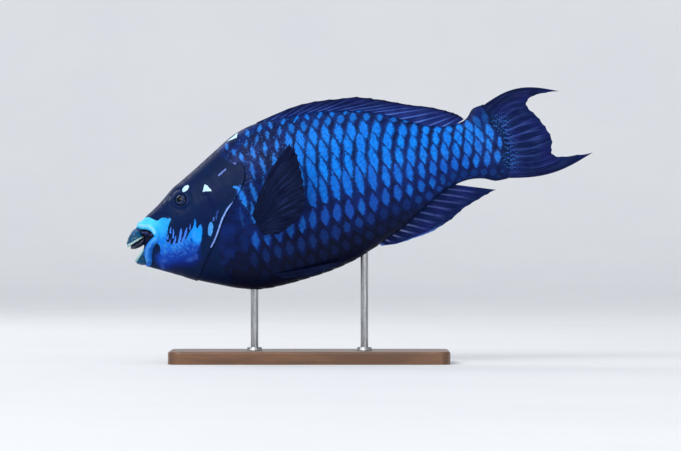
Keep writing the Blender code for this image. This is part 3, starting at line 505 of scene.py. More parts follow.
class Nodes:
    """Short way to add and join nodes in one tree."""

    def __init__(self, tree):
        self.tree = tree

    def add(self, kind, inputs=None, **settings):
        node = self.tree.nodes.new(kind)
        for key, value in settings.items():
            setattr(node, key, value)
        for key, value in (inputs or {}).items():
            if isinstance(value, bpy.types.NodeSocket):
                self.tree.links.new(value, node.inputs[key])
            elif value is not None:
                node.inputs[key].default_value = value
        return node

    def math(self, operation, a, b=0.0):
        return self.add("ShaderNodeMath", {0: a, 1: b}, operation=operation).outputs[0]

    def times(self, a, b):
        return self.math("MULTIPLY", a, b)

    def plus(self, a, b):
        return self.math("ADD", a, b)

    def minus(self, a, b):
        return self.math("SUBTRACT", a, b)

    def place(self):
        return self.add("ShaderNodeTexCoord").outputs["Object"]

    def read(self, name, output="Fac"):
        return self.add("ShaderNodeAttribute", attribute_name=name).outputs[output]

    def stretched(self, vector, scale):
        return self.add("ShaderNodeMapping", {"Vector": vector, "Scale": scale}).outputs[0]

    def noise(self, scale, detail=3.0, vector=None, roughness=0.55, output="Fac"):
        inputs = {"Vector": vector or self.place(), "Scale": scale, "Detail": detail}
        inputs["Roughness"] = roughness
        return self.add("ShaderNodeTexNoise", inputs).outputs[output]

    def cells(self, scale):
        inputs = {"Vector": self.place(), "Scale": scale}
        return self.add("ShaderNodeTexVoronoi", inputs).outputs["Distance"]

    def spread(self, value, low, high, to_low=0.0, to_high=1.0, soft=True):
        inputs = {"Value": value, "From Min": low, "From Max": high}
        inputs.update({"To Min": to_low, "To Max": to_high})
        kind = "SMOOTHSTEP" if soft else "LINEAR"
        return self.add("ShaderNodeMapRange", inputs, interpolation_type=kind).outputs[0]

    def mix(self, share, a, b, blend="MIX"):
        inputs = {0: share, 6: a, 7: b}
        node = self.add("ShaderNodeMix", inputs, data_type="RGBA", blend_type=blend)
        return node.outputs[2]

    def bump(self, height, distance, strength=1.0, normal=None):
        inputs = {"Height": height, "Distance": distance, "Strength": strength, "Normal": normal}
        return self.add("ShaderNodeBump", inputs).outputs[0]

    def patches(
        self, colour, other, scale, detail, low, high, most=1.0, roughness=0.55, blend="MIX"
    ):
        """Colour with clouds of another one, where a noise runs from low to high."""
        noise = self.noise(scale, detail, roughness=roughness)
        return self.mix(self.spread(noise, low, high, 0.0, most), colour, other, blend)

    def uneven(self, scale, detail, low, high):
        """Noise that runs about from low to high."""
        return self.spread(self.noise(scale, detail), 0.3, 0.7, low, high)

    def finish(self, colour, roughness, normal=None):
        """Joins the colour, the roughness and the normal to the material's shader."""
        shader = self.tree.nodes["Principled BSDF"]
        for word, socket in (("Base Color", colour), ("Roughness", roughness), ("Normal", normal)):
            if socket:
                self.tree.links.new(socket, shader.inputs[word])


def new_material(name, **sockets):
    """Material and its nodes. Its shader's named sockets get plain values."""
    material = bpy.data.materials.new(name)
    material.use_nodes = True
    shader = material.node_tree.nodes["Principled BSDF"]
    for word, value in sockets.items():
        shader.inputs[word.replace("_", " ").title().replace("Ior", "IOR")].default_value = value
    return material, Nodes(material.node_tree)


def tone(red, green, blue):
    """Linear colour, with alpha, from 0 to 255 numbers as a paint chart gives them."""
    values = np.array([red, green, blue]) / 255
    linear = np.where(values <= 0.04045, values / 12.92, ((values + 0.055) / 1.055) ** 2.4)
    return (*map(float, linear), 1.0)


NAVY, NAVY_DEEP, NAVY_VIOLET = tone(5, 29, 68), tone(5, 15, 37), tone(14, 24, 68)
AZURE, AZURE_DEEP, VIOLET_BLUE = tone(2, 118, 228), tone(8, 74, 182), tone(20, 52, 150)
ICE = tone(206, 240, 255)
# Of these, the colours along the gill cover's edge and along the dorsal fin's rays are painted
# highlights, and those of the cheek fold and of the mouth are painted shade
TINT = {name: tone(*shade) for name, shade in {
    "crown": (14, 36, 84), "chin": (16, 66, 170), "chin_deep": (10, 34, 118),
    "chin_glint": (56, 100, 196), "gill_glint_top": (46, 104, 190), "stem_speckle": (48, 116, 206),
    "eye_rim": (48, 68, 120), "face": (4, 118, 222), "face_front": (36, 178, 242),
    "snout": (72, 204, 246), "low_cheek": (14, 84, 196), "mouth_corner": (22, 98, 196),
    "bright_cheek": (0, 150, 255), "face_cloud": (76, 164, 236), "cheek_mottle": (70, 160, 238),
    "jaw": (15, 60, 162), "seam": (6, 56, 164), "fold": (12, 18, 52), "stripe": (60, 124, 232),
    "gill_edge_glint": (128, 160, 228), "gill_hook": (40, 136, 228), "low_scale": (24, 40, 112),
    "shoulder_scale": (60, 122, 206), "mouth": (7, 14, 38), "gum": (92, 100, 160),
    "fin": (9, 27, 72), "fin_plum": (17, 27, 84), "dorsal_root": (34, 56, 132),
    "dorsal_rear": (30, 44, 112), "dorsal_ray_glint": (84, 124, 212), "dorsal_edge": (8, 12, 34),
    "anal_edge": (100, 142, 220), "anal_front": (160, 176, 222), "anal_rays": (92, 112, 184),
    "tail_rays": (60, 84, 158), "tail_fleck": (52, 120, 206), "tail_edge": (10, 18, 46),
    "paired_fin": (7, 17, 38), "paired_rays": (20, 42, 92),
}.items()}


# Marks on the skin, as side views in millimetres. Those beside a number give half their width

FACE_PATCH = [
    (9.5, 21.5), (12, 24.8), (16, 27.2), (20.5, 28.4), (25, 27), (29, 23.8), (33, 20.3),
    (35.3, 20), (37.5, 21.8), (41, 22), (45.5, 20.6), (46.3, 18.9), (49.8, 19.6), (50.4, 18),
    (47, 13.5), (44.3, 9.5), (42.2, 5), (40, 1), (38, -4.5), (39.5, -9.5), (43, -10.8),
    (50, -11.2), (56, -10.7), (61, -9.8), (64, -6), (68, -2.4), (71.5, 0.5), (74.3, 3.5),
    (75.6, 7), (76.6, 10.8), (77.8, 10.4), (77.7, 5.5), (76.3, 2), (76.4, -0.8), (78, -1),
    (79, 1.2), (82.5, 2.5), (83.3, -1), (82, -6), (80, -11), (77, -17.5), (74, -22), (71, -25),
    (68, -27), (62, -27.5), (55, -27), (46, -26.5), (38, -26), (31, -24), (26.5, -19),
    (27, -15.5), (29, -12), (28.6, -8), (26, -4.8), (22.5, -5.2), (20.5, -9), (18, -13.5),
    (15.3, -19), (13, -24), (8.3, -24.5), (8.5, -19), (10.5, -12.5), (13, -7.5), (17, -4),
    (22, -1), (26, 2), (26.7, 5), (25.8, 9), (24.6, 12.5), (21.5, 15.6), (15, 18.2), (10.5, 20),
]
FACE_STRIPES = [  # from the root to the tip
    ([(39.8, -3.5), (41.4, 0), (42.3, 3.4)], 0.9), ([(39.5, -10), (42, -7.2), (43.9, -4)], 1.0),
    ([(45.2, 2.4), (46.2, 6), (47.9, 9)], 0.9), ([(46.8, -4), (48.6, 1), (49.6, 5.7)], 0.9),
    ([(45.5, -11), (48.2, -7), (50.4, -3.2)], 1.1),
    ([(51.4, -12), (54.6, -6.4), (57.2, -0.6), (59.3, 4.4)], 1.35),
    ([(56.4, -11.5), (61, -5), (63.4, -0.8), (65.6, 3)], 1.3), ([(68.6, 1), (70.8, 6.2)], 0.7),
]
FACE_SEAM = [(67.2, -10.5), (66.8, -15), (64.4, -22)]
LIP_GLINTS = [
    ([(11, 21.4), (16, 19.2), (22, 17.3), (25.6, 13), (27, 7.5)], 1.5),
    ([(26, 1), (20, -2.4), (14.6, -6.6), (11.4, -12), (9.6, -18), (9.4, -22)], 1.2),
]
LIP_GLINT_TINTS = tone(150, 222, 250), tone(84, 164, 234)
# Cheek fold: sunk into the skin, and painted dark there as shade
CHEEK_FOLD, CHEEK_FOLD_SIZE = (24.8, -10.6), (3.6, 6.4)
CHIN_PATCH = [
    (21.5, -21), (27, -18.5), (40, -19), (55, -19), (64, -19), (72, -22.5), (69, -27.5),
    (70.5, -31), (67, -37.5), (60, -40), (52, -38), (42, -35), (34, -36), (27, -38), (22.5, -35),
]
CHIN_GLINTS = [((28.5, -27), (4.6, 2.8)), ((24.5, -33.5), (2.6, 4.2)), ((60, -34), (6.5, 3.2)),
               ((67, -32), (2.2, 4.4)), ((51, -24), (9, 2.2))]
# Painted highlight along the lower part of the gill cover's free edge
GILL_EDGE_GLINT = [
    (87, -26.5), (94, -19), (100, -10.5), (106, -1.5), (112, 6), (118, 12), (124, 16), (132, 19.5),
]
GILL_HOOK = [(129, 18.5), (133, 21), (135.5, 25), (137, 29), (135.5, 32.5), (132, 34)]
# Painted highlight along the top of the gill cover's free edge
GILL_EDGE_GLINT_TOP = [(132, 19.5), (134.5, 24), (135.5, 30), (138, 32.5), (141, 31)]
OVAL_SPOTS = [  # middle, half length, half width, turn in degrees
    ((92, -5.8), 8.4, 2.9, 68), ((76, 48), 4.9, 2.6, 30), ((139, 63), 4.2, 1.7, 112),
]
OVAL_TINTS = (tone(74, 158, 232), ICE, tone(110, 120, 204))
WEDGE_SPOT = [
    (94.6, 38.6), (97, 43), (99.4, 46.8), (101.6, 44.6), (103.6, 41), (105.2, 36.8), (100.5, 37.8),
]
# Painted highlight on the top of the nape. The stretch after it stays bare of scales so that it
# shows
NAPE_GLINT = [(136, 88.6), (144, 91.5), (150, 94.0), (154, 95.4), (153.5, 91.0), (147, 89.3)]
NAPE_GLINT_BARE = (0.135, 0.158, 0.084)  # bare of scales: from and to along the body, above this height
CHEEK_THREADS = [
    ([(118, 52.2), (123, 54.8), (128, 57)], 0.9), ([(101.5, 3), (103.5, 9), (106.5, 12.5)], 0.8),
    ([(98.2, 3), (98.8, 5.6)], 1.1), ([(130.5, -4), (135, -1), (139, 2.2)], 0.9),
]
CHEEK_THREAD_TINTS = [
    tone(110, 132, 204), tone(44, 66, 142), tone(74, 104, 180), tone(180, 190, 228),
]


def polygon_depth(x, z, outline):
    """Signed distance to an outline, in its own units: above 0 inside it."""
    points = np.array(outline, float)
    inside = np.zeros(x.shape, bool)
    nearest = np.full(x.shape, np.inf)
    for (ax, az), (bx, bz) in zip(points, np.roll(points, -1, axis=0)):
        nearest = np.minimum(nearest, line_distance(x, z, [(ax, az), (bx, bz)]))
        crosses = (az > z) != (bz > z)
        at = ax + (z - az) * (bx - ax) / np.where(bz == az, 1e-9, bz - az)
        inside ^= crosses & (x < at)
    return np.where(inside, nearest, -nearest)


def line_distance(x, z, line):
    """Distance to a line of straight stretches."""
    nearest = np.full(x.shape, np.inf)
    for (ax, az), (bx, bz) in zip(line, line[1:]):
        run = np.array([bx - ax, bz - az], float)
        t = np.clip(((x - ax) * run[0] + (z - az) * run[1]) / (run @ run), 0, 1)
        nearest = np.minimum(nearest, np.hypot(x - ax - t * run[0], z - az - t * run[1]))
    return nearest


RIPPLE_WAVES, RIPPLE_PEAK = 7, 3.2


def ripple(x, z, size, seed):
    """Smooth seeded wobble, from about -1 to 1, of this size in the units of x and z."""
    rng = np.random.default_rng(seed)
    total = np.zeros(np.shape(x))
    for _ in range(RIPPLE_WAVES):
        turn, phase = rng.uniform(0, 2 * math.pi, 2)
        pace = 2 * math.pi / size * rng.uniform(0.5, 1.6)
        total += np.sin((x * math.cos(turn) + z * math.sin(turn)) * pace + phase)
    return total / RIPPLE_PEAK


def blend(base, colour, share):
    """Lays a colour over base colours, by a share for each point."""
    return base + (np.array(colour) - base) * np.clip(np.atleast_1d(share), 0, 1)[:, None]


def plain(colour, x):
    """The same colour for each point."""
    return np.tile(np.array(colour), (len(x), 1))


def skin_ground(x, z):
    """Dark colour of the skin at side-view places in millimetres, with painted highlights on the
    chin and along the top of the gill cover's edge.
    """
    wobble = ripple(x, z, 5.0, 3)
    colour = plain(NAVY, x)
    colour = blend(colour, NAVY_VIOLET, fade(ripple(x, z, 46, 5), -0.2, 1.3) * 0.6)
    colour = blend(colour, NAVY_DEEP, fade(-z, 30, 78) * 0.8)
    colour = blend(colour, TINT["crown"], fade(z, 5, 60) * fade(-x, -120, -40) * 0.3)
    chin = polygon_depth(x, z, CHIN_PATCH) + 1.2 * wobble
    lower = plain(TINT["chin"], x)
    lower = blend(lower, TINT["chin_deep"], fade(-z, 24, 37))
    for middle, half in CHIN_GLINTS:
        glint = fade(-oval(x, z, middle, half), -1.4, -0.2)
        lower = blend(lower, TINT["chin_glint"], glint * 0.55)
    colour = colour + (lower - colour) * (fade(chin, -5.5, 3.5) * 0.95)[:, None]
    # Painted highlight along the top of the gill cover's edge
    edge_glint = 1.5 - line_distance(x, z, GILL_EDGE_GLINT_TOP) + 0.6 * wobble
    colour = blend(colour, TINT["gill_glint_top"], fade(edge_glint, -1.4, 1.0) * 0.75)
    speckle = fade(ripple(x, z, 4.2, 12), 0.0, 0.9) * fade(x, 436, 448)
    colour = blend(colour, TINT["stem_speckle"], speckle * fade(-np.abs(z), -40, -22) * 0.6)
    ring = np.hypot(x - MM * EYE_AT[0], z - MM * EYE_AT[1])
    upper_rear = fade(x + z - MM * (EYE_AT[0] + EYE_AT[1]), -6, 6)
    rim = fade(-np.abs(ring - 8.4), -1.5, -0.2) * (0.1 + 0.4 * upper_rear)
    return blend(colour, TINT["eye_rim"], rim)


def face_light(x, z):
    """Light colour of the patch on the face and the lips, with painted highlights along the lips
    and painted shade in the cheek fold.
    """
    light = plain(TINT["face"], x)
    light = blend(light, TINT["face_front"], fade(z, -6, 12) * fade(-x, -60, -34))
    light = blend(light, TINT["snout"], fade(z, 9, 20) * fade(-x, -42, -26))
    light = blend(light, TINT["low_cheek"], fade(-z, 7, 17) * fade(x, 20, 30) * 0.8)
    light = blend(light, TINT["mouth_corner"], fade(-z, -2, 5) * fade(-x, -27, -21) * 0.9)
    light = blend(light, TINT["bright_cheek"], fade(-oval(x, z, (74, -8), (9, 12)), -1.4, -0.4))
    light = blend(light, TINT["face_cloud"], fade(ripple(x, z, 7, 8), 0.1, 1.2) * 0.35)
    middle = fade(-oval(x, z, (52, -15), (14, 6)), -1.3, -0.4)
    light = blend(light, TINT["cheek_mottle"], fade(ripple(x, z, 3.2, 61), 0.1, 1.0) * middle * 0.7)
    low = fade(-z + 1.5 * ripple(x, z, 9, 62), 15, 23.5) * fade(x, 24, 31)
    light = blend(light, TINT["jaw"], low)
    for (line, half), tint in zip(LIP_GLINTS, LIP_GLINT_TINTS):
        near = fade(half - line_distance(x, z, line), -1.1, 0.9)
        light = blend(light, tint, near * 0.75)
    seam = fade(0.9 - line_distance(x, z, FACE_SEAM) + 0.3 * ripple(x, z, 5.0, 3), -0.7, 0.6)
    light = blend(light, TINT["seam"], seam * 0.8)
    # Painted shade in the cheek fold
    fold = fade(-oval(x, z, CHEEK_FOLD, CHEEK_FOLD_SIZE), -1.15, -0.45)
    return blend(light, TINT["fold"], fold * 0.9)


def oval_depth(x, z, middle, long, short, turn):
    """About the signed distance to an oval's edge: above 0 inside it."""
    turn = math.radians(turn)
    along = (x - middle[0]) * math.cos(turn) + (z - middle[1]) * math.sin(turn)
    over = (z - middle[1]) * math.cos(turn) - (x - middle[0]) * math.sin(turn)
    return (1 - oval(along, over, (0, 0), (long, short))) * short


def skin_marks(x, z):
    """Light marks of the skin, among them painted highlights along the gill cover's edge and on the
    nape: distance inside their edge in millimetres, and their colour.
    """
    wobble = 0.2 * ripple(x, z, 5.0, 3)
    marks = [(polygon_depth(x, z, FACE_PATCH) + wobble, face_light(x, z))]
    for line, half in FACE_STRIPES:
        tip = np.hypot(x - line[-1][0], z - line[-1][1])
        depth = half * (0.3 + 0.7 * fade(tip, 0, 6)) - line_distance(x, z, line) + wobble
        marks.append((depth, TINT["stripe"]))
    # Painted highlight along the gill cover's edge
    marks.append((0.9 - line_distance(x, z, GILL_EDGE_GLINT) + wobble, TINT["gill_edge_glint"]))
    marks.append((1.5 - line_distance(x, z, GILL_HOOK) + 3 * wobble, TINT["gill_hook"]))
    for oval, tint in zip(OVAL_SPOTS, OVAL_TINTS):
        marks.append((oval_depth(x, z, *oval) + wobble, tint))
    marks.append((polygon_depth(x, z, WEDGE_SPOT) + wobble, ICE))
    # Painted highlight on the nape
    marks.append((polygon_depth(x, z, NAPE_GLINT) + wobble, ICE))
    for (line, half), tint in zip(CHEEK_THREADS, CHEEK_THREAD_TINTS):
        marks.append((half - line_distance(x, z, line) + wobble, tint))
    depth = np.full(len(x), -9.0)
    colour = plain(AZURE, x)
    for reach, tint in marks:
        colour = np.where((reach > depth)[:, None], tint, colour)
        depth = np.maximum(depth, reach)
    return depth, colour


BACK_ROWS = ((1.0, 0.8), (0.45, 0.6))  # how slim and how strong the marks of the top rows are
SECOND_ROW_TALL = 0.8


def mark_of_scale(x, z, row):
    """Light mark of a scale at a side-view place in millimetres.

    Returns its strength, its colour, how slim it is and its height.
    """
    front = fade(-x, -214, -196) * fade(z, -18, 0)
    collar = fade(-abs(z - 19), -26, -15) * fade(x, 133, 139) * fade(-x, -158, -146)
    row_slim, row_strength = BACK_ROWS[row] if row < len(BACK_ROWS) else (0.0, 1.0)
    slim = max(front * (1 - 0.5 * collar), row_slim, fade(x, 442, 450))
    strength = row_strength * (fade(z, -62, -8) * 0.85 + 0.15 * fade(z, -84, -60))
    under_fin = front * (1 - collar) * fade(-abs(z - 8), -46, -34)
    strength *= max(fade(x, 122, 140), collar) * (1 - 0.75 * under_fin)
    strength *= 1 - 0.8 * fade(x, 352, 378) * fade(-z, 14, 22)
    strength *= 1 - 0.7 * fade(x, 260, 300) * fade(-z, 34, 42)
    strength *= 1 - 0.85 * fade(x, 424, 434) * fade(z, 26, 33)
    colour = blend(np.array([AZURE]), AZURE_DEEP, fade(-z, -20, 8))
    colour = blend(colour, VIOLET_BLUE, fade(-z, 4, 34))
    colour = blend(colour, TINT["low_scale"], fade(-z, 34, 62))
    colour = blend(colour, TINT["shoulder_scale"], max(0.5 * front, fade(x, 395, 440) * 0.4))
    tall = 1 - 0.42 * fade(-z, -8, 44) - 0.35 * slim - 0.12 * fade(x, 425, 440)
    return strength, colour[0], slim, tall * (SECOND_ROW_TALL if row == 1 else 1.0)


# Skin


SIDE_POINTS = 160
PLACES = np.arange(SIDE_POINTS + 1) / SIDE_POINTS  # shares of the way from back to belly
BODY, UPPER_LIP, LOWER_LIP, MOUTH = range(4)  # zones of the skin
BAND_RINGS, BAND_END = 22, 0.046
HEAD_RINGS, GILL_STATION = 104, 0.110
GILL_PULL_END = 0.240
TRUNK_STEP, FINE_FROM, FINE_STEP = 0.0040, 0.432, 0.0008
LIP_STEPS, PULL_ROUNDS = 900, 9
# Turns of the lips' rings, from inside the mouth to the face, and where the lips' colour begins
LIP_TURNS, LIP_COLOUR_TURN, LIP_COLOUR_FRONT = (150, -85, 15), 118, 0.12
MOUTH_SAG, MOUTH_FOLD, MOUTH_FOLDS = 0.0010, 0.00035, 5
THROAT_RINGS, GUM_RINGS = (1.0, 0.66, 0.33), (0.0, 0.12, 0.28, 0.46, 0.64, 0.82)
BAND_START, BAND_SUNK = 1.06, 0.0004
GILL_LIP = ((0.0003, 0.0013), (0.0002, 0.0006), (-0.0008, -0.0004))
GILL_TO_TRUNK = 0.0012
STEM_CAP = ((1.0, 0.0), (0.6, 0.0010), (0.0, 0.0014))  # share of the width, and further to the rear
MAP_MARGIN = 0.01


def mouth_loop():
    """Lips' centre line with its directions and radii, at each share round the left side."""
    x, z = np.array(LIP_LINE).T
    points, _ = skin_point(x, z, -1, -LIP_SINK * np.ones(len(x)))
    upper, lower = ((x, 0.0, z) for x, z in (UPPER_LIP_MIDDLE, LOWER_LIP_MIDDLE))
    whole = np.vstack([upper, points, lower])
    mirror = np.array([1.0, -1.0, 1.0])
    line = path(np.vstack([whole[2:0:-1] * mirror, whole, whole[-2:-4:-1] * mirror]))
    knots = len(whole) + 4
    fine = line(np.linspace(2 / (knots - 1), (knots - 3) / (knots - 1), LIP_STEPS))
    length = np.concatenate([[0.0], np.cumsum(np.linalg.norm(np.diff(fine, axis=0), axis=1))])
    even = np.linspace(0.0, length[-1], SIDE_POINTS + 1)
    centre = np.stack([np.interp(even, length, column) for column in fine.T], axis=-1)
    corner = np.argmin(np.linalg.norm(centre - points[LIP_CORNER], axis=1)) / SIDE_POINTS
    along = unit(np.gradient(centre, axis=0))
    along[0], along[-1] = (0, -1, 0), (0, 1, 0)
    share = form.share_at(np.maximum(centre[:, 0], BACK[0][0]), centre[:, 1:])
    outward = form.outward(np.maximum(centre[:, 0], BACK[0][0] + 0.002), share)
    outward = unit(outward - along * (outward * along).sum(axis=1)[:, None])
    inward = unit(np.cross(outward, along))
    wide = np.where(PLACES < corner, PLACES / corner, (1 - PLACES) / (1 - corner))
    radius = LIP_END_RADIUS + (LIP_RADIUS - LIP_END_RADIUS) * np.cos(wide * math.pi / 2) ** 0.5
    return centre, outward, inward, radius, corner


def gum_loop(corner):
    """Line where the mouth's skin meets the beaks, at each share round the left side."""
    points = np.array(GUM_LINE) * (1, 1, -1)
    knots = np.linspace(0, 1, GUM_CORNER + 1) * corner
    after = np.linspace(0, 1, len(points) - GUM_CORNER)[1:]
    knots = np.concatenate([knots, corner + after * (1 - corner)])
    axes = [smooth(np.column_stack([knots, points[:, k]]))(PLACES) for k in (0, 2, 1)]
    return np.stack(axes, axis=-1)


def eye_relief(point):
    """Moves skin points round the eye into a raised rim and a socket. Returns their heights."""
    away = np.hypot(point[..., 0] - EYE_AT[0], point[..., 2] - EYE_AT[1])
    rim = EYE_RIM_HEIGHT * bell(away - EYE_RIM_RADIUS, EYE_RIM_WIDTH)
    fold = EYE_FOLD_DEPTH * bell(away - EYE_FOLD_RADIUS, EYE_FOLD_WIDTH)
    return rim - fold - EYE_SOCKET_DEPTH * (1 - fade(away, *EYE_SOCKET_EDGE))


HEAD_CREASES = [  # cheek bone, upper jaw and corner of the mouth: points, height and width
    ([(96, 34), (99, 18), (97, 3), (91, -12), (80, -26), (64, -37)], -0.7, 3.0),
    ([(30, 24), (40, 26), (49, 23), (53, 14), (52, 2)], -0.45, 2.4),
    ([(24, -4), (24, -16), (19, -24), (15, -29)], -0.6, 2.0),
]
HEAD_SWELLS = [  # cheek muscle, brow and cheek fold: middle, half size and height
    ((62, 2), (17, 20), 0.5), ((60, 52), (30, 5), 0.6), (CHEEK_FOLD, CHEEK_FOLD_SIZE, -1.3),
]


def head_relief(point):
    """Bones and creases under the skin of the head: heights at points."""
    x, z = point[..., 0] * MM, point[..., 2] * MM
    height = np.zeros(x.shape)
    for line, high, wide in HEAD_CREASES:
        height += high * bell(line_distance(x, z, line), wide)
    for middle, half, high in HEAD_SWELLS:
        height += high * bell(oval(x, z, middle, half))
    height += 0.10 * ripple(x, z, 17, 31)
    return height / MM


def skin_points():
    """Rings of skin points, left side from back to belly, with each point's zone."""
    centre, outward, inward, radius, corner = mouth_loop()
    gum = gum_loop(corner)
    throat = np.column_stack([
        np.full(SIDE_POINTS + 1, THROAT_AT[0]), -THROAT_HALF_WIDTH * np.sin(PLACES * math.pi),
        THROAT_AT[1] + THROAT_HALF_HEIGHT * np.cos(PLACES * math.pi),
    ])
    rings, zones = [], []
    lip_zone = np.where(PLACES < corner, UPPER_LIP, LOWER_LIP)

    def add(ring, zone=BODY):
        rings.append(ring)
        zones.append(np.broadcast_to(zone, SIDE_POINTS + 1))

    def turned(angle):
        out, into = LIP_HEIGHT * math.cos(angle), math.sin(angle)
        into *= LIP_AWAY if angle < 0 else 1.0
        return centre + radius[:, None] * (outward * out + inward * into)

    inner = turned(math.radians(LIP_TURNS[0]))
    for share in THROAT_RINGS:
        add(gum + (throat - gum) * share, MOUTH)
    for share in GUM_RINGS:
        sag = -outward * MOUTH_SAG * math.sin(math.pi * share)
        fold = outward * MOUTH_FOLD * math.sin(math.pi * share * MOUTH_FOLDS)
        add(gum + (inner - gum) * share + sag + fold, MOUTH)
    for angle in np.linspace(*LIP_TURNS):
        # The inner side of the lips takes the mouth's painted shade
        hidden = (angle > LIP_COLOUR_TURN) & (PLACES > LIP_COLOUR_FRONT)
        add(turned(math.radians(angle)), np.where(hidden, MOUTH, lip_zone))
    start = centre - inward * (radius * LIP_AWAY * BAND_START)[:, None]
    start_x = np.maximum(start[:, 0], BACK[0][0])
    start_share = form.share_at(start_x, start[:, 1:])
    start_share[0], start_share[-1] = 0.0, 1.0
    for share in np.linspace(0, 1, BAND_RINGS, endpoint=False):
        x = start_x + (BAND_END - start_x) * share
        round_share = start_share + (PLACES - start_share) * share
        point, out = form.at(x, round_share), form.outward(x, round_share)
        sunk = BAND_SUNK * (1 - fade(share, 0.0, 0.16))
        lift = head_relief(point) * fade(share, 0.0, 0.3) - sunk
        add(point + out * lift[:, None])

    def pulled(station, pull):
        x = np.full(SIDE_POINTS + 1, station)
        for _ in range(PULL_ROUNDS):
            z = form.at(x, PLACES)[:, 2]
            x = station + pull * (np.maximum(gill_edge(z), GILL_THROAT_X) - GILL_STATION)
        return x

    for station in np.linspace(BAND_END, GILL_STATION, HEAD_RINGS):
        x = pulled(station, (station - BAND_END) / (GILL_STATION - BAND_END))
        point, out = form.at(x, PLACES), form.outward(x, PLACES)
        ahead = np.maximum(gill_edge(point[:, 2]) - x, 0.0)
        lift = GILL_LIFT * np.exp(-ahead / GILL_LIFT_REACH) * gill_free(point[:, 2])
        lift = lift + head_relief(point) * fade(ahead, 0.001, 0.010) + eye_relief(point)
        add(point + out * lift[:, None])
    free = gill_free(point[:, 2])
    for back_off, height in GILL_LIP:
        add(form.at(x + back_off * free, PLACES) + out * (height * free)[:, None])
    stations = np.arange(GILL_STATION + GILL_TO_TRUNK, FINE_FROM, TRUNK_STEP)
    for station in [*stations, *np.arange(FINE_FROM, STEM_END_MIDDLE, FINE_STEP)]:
        pull = max(0.0, (GILL_PULL_END - station) / (GILL_PULL_END - GILL_STATION))
        x = pulled(station, pull)
        add(trunk_ring(form.at(x, PLACES), form.outward(x, PLACES), station))
    end = form.at(STEM_END_MIDDLE, PLACES)
    end[:, 0] -= STEM_END_EDGE * (end[:, 2] / STEM_END_HALF_HEIGHT) ** 2
    for narrow, further in STEM_CAP:
        add(end * (1, narrow, 1) + (further, 0, 0))
    return np.array(rings), np.array(zones)


def trunk_ring(point, out, station):
    """Ring of the body behind the gill cover, with its swellings and the bend of its end."""
    point = point + out * trunk_lift(point[:, 0], point[:, 2])[:, None]
    point[:, 0] -= stem_bend(station) * (point[:, 2] / STEM_END_HALF_HEIGHT) ** 2
    return point


def stem_bend(x):
    return STEM_END_EDGE * fade(x, TAIL_STEM_FROM + STEM_BEND_AFTER, STEM_END_MIDDLE)


def mouth_colours(x, z, zones, depth, ground):
    """Lights the lips, where the patch on the face leaves them dark, and paints the inside of the
    mouth near black as shade, with lilac streaks on the gums.
    """
    bare = np.isin(zones, (UPPER_LIP, LOWER_LIP)) & (depth < 1.0)
    streak = fade(-line_distance(x, z, [(14, 12.5), (19, 9), (24, 5)]), -1.3, -0.2) * 0.45
    gum = fade(-line_distance(x, z, [(4, 17.5), (9, 15), (12.8, 11)]), -1.2, -0.3) * 0.7
    # Near black inside the mouth: painted shade
    inside = plain(TINT["mouth"], x)
    inside = blend(inside, TINT["gum"], np.maximum(streak, gum))
    ground = np.where((zones == MOUTH)[:, None], inside, ground)
    return np.where(zones == MOUTH, -2.0, np.where(bare, 1.0, depth)), ground


def skin_material(settings):
    material, nodes = new_material(
        "parrotfish_skin", coat_weight=0.02, coat_roughness=0.2, specular_ior_level=0.05
    )
    ragged = nodes.times(nodes.minus(nodes.noise(420, 4, roughness=0.6), 0.5), 1.1)
    inside = nodes.spread(nodes.plus(nodes.read("depth"), ragged), -0.35, 0.35)
    light = nodes.patches(nodes.read("light", "Color"), settings.mottle, 260, 3, 0.42, 0.72, 0.22)
    colour = nodes.mix(inside, nodes.read("ground", "Color"), light)
    colour = nodes.patches(colour, settings.shade, 55, 4, 0.35, 0.7, 0.30, blend="MULTIPLY")
    colour = nodes.patches(colour, settings.fleck, 900, 2, 0.58, 0.72, 0.22, blend="SCREEN")
    rough = nodes.uneven(140, 3, settings.roughness - 0.07, settings.roughness + 0.1)
    wrinkle = nodes.bump(nodes.noise(420, 5, roughness=0.65), 0.0004, 0.45)
    nodes.finish(colour, rough, nodes.bump(nodes.cells(1500), 0.00012, 0.5, wrinkle))
    return material


def whole_rings(half):
    """Closed rings from left halves: the left side, then its mirror from belly to back."""
    return np.concatenate([half, half[:, -2:0:-1] * (1, -1, 1)], axis=1)


def build_skin(settings):
    half, half_zones = skin_points()
    half[:, [0, -1], 1] = 0.0
    rings = whole_rings(half)
    zones = np.concatenate([half_zones, half_zones[:, -2:0:-1]], axis=1)
    count, sides = rings.shape[:2]
    points = rings.reshape(-1, 3)
    mesh = mesh_of("skin", points, grid_faces(count, sides, True) + [tuple(range(sides))])
    x, z = points[:, 0] * MM, points[:, 2] * MM
    depth, light = skin_marks(x, z)
    depth, ground = mouth_colours(x, z, zones.ravel(), depth, skin_ground(x, z))
    add_numbers(mesh, "depth", "FLOAT", depth)
    add_numbers(mesh, "light", "FLOAT_COLOR", light)
    add_numbers(mesh, "ground", "FLOAT_COLOR", ground)
    left = np.linspace(0, 0.5, SIDE_POINTS + 1)
    across = np.concatenate([left, 0.5 + left[1:-1]])
    places = np.empty((count, sides, 2))
    places[..., 0] = np.linspace(MAP_MARGIN, 1 - MAP_MARGIN, count)[:, None]
    places[..., 1] = MAP_MARGIN + (1 - 2 * MAP_MARGIN) * across[None, :]
    add_map(mesh, places.reshape(-1, 2))
    add_piece("skin", mesh, skin_material(settings), ("head", "trunk", "tail_stem"))


# Scales


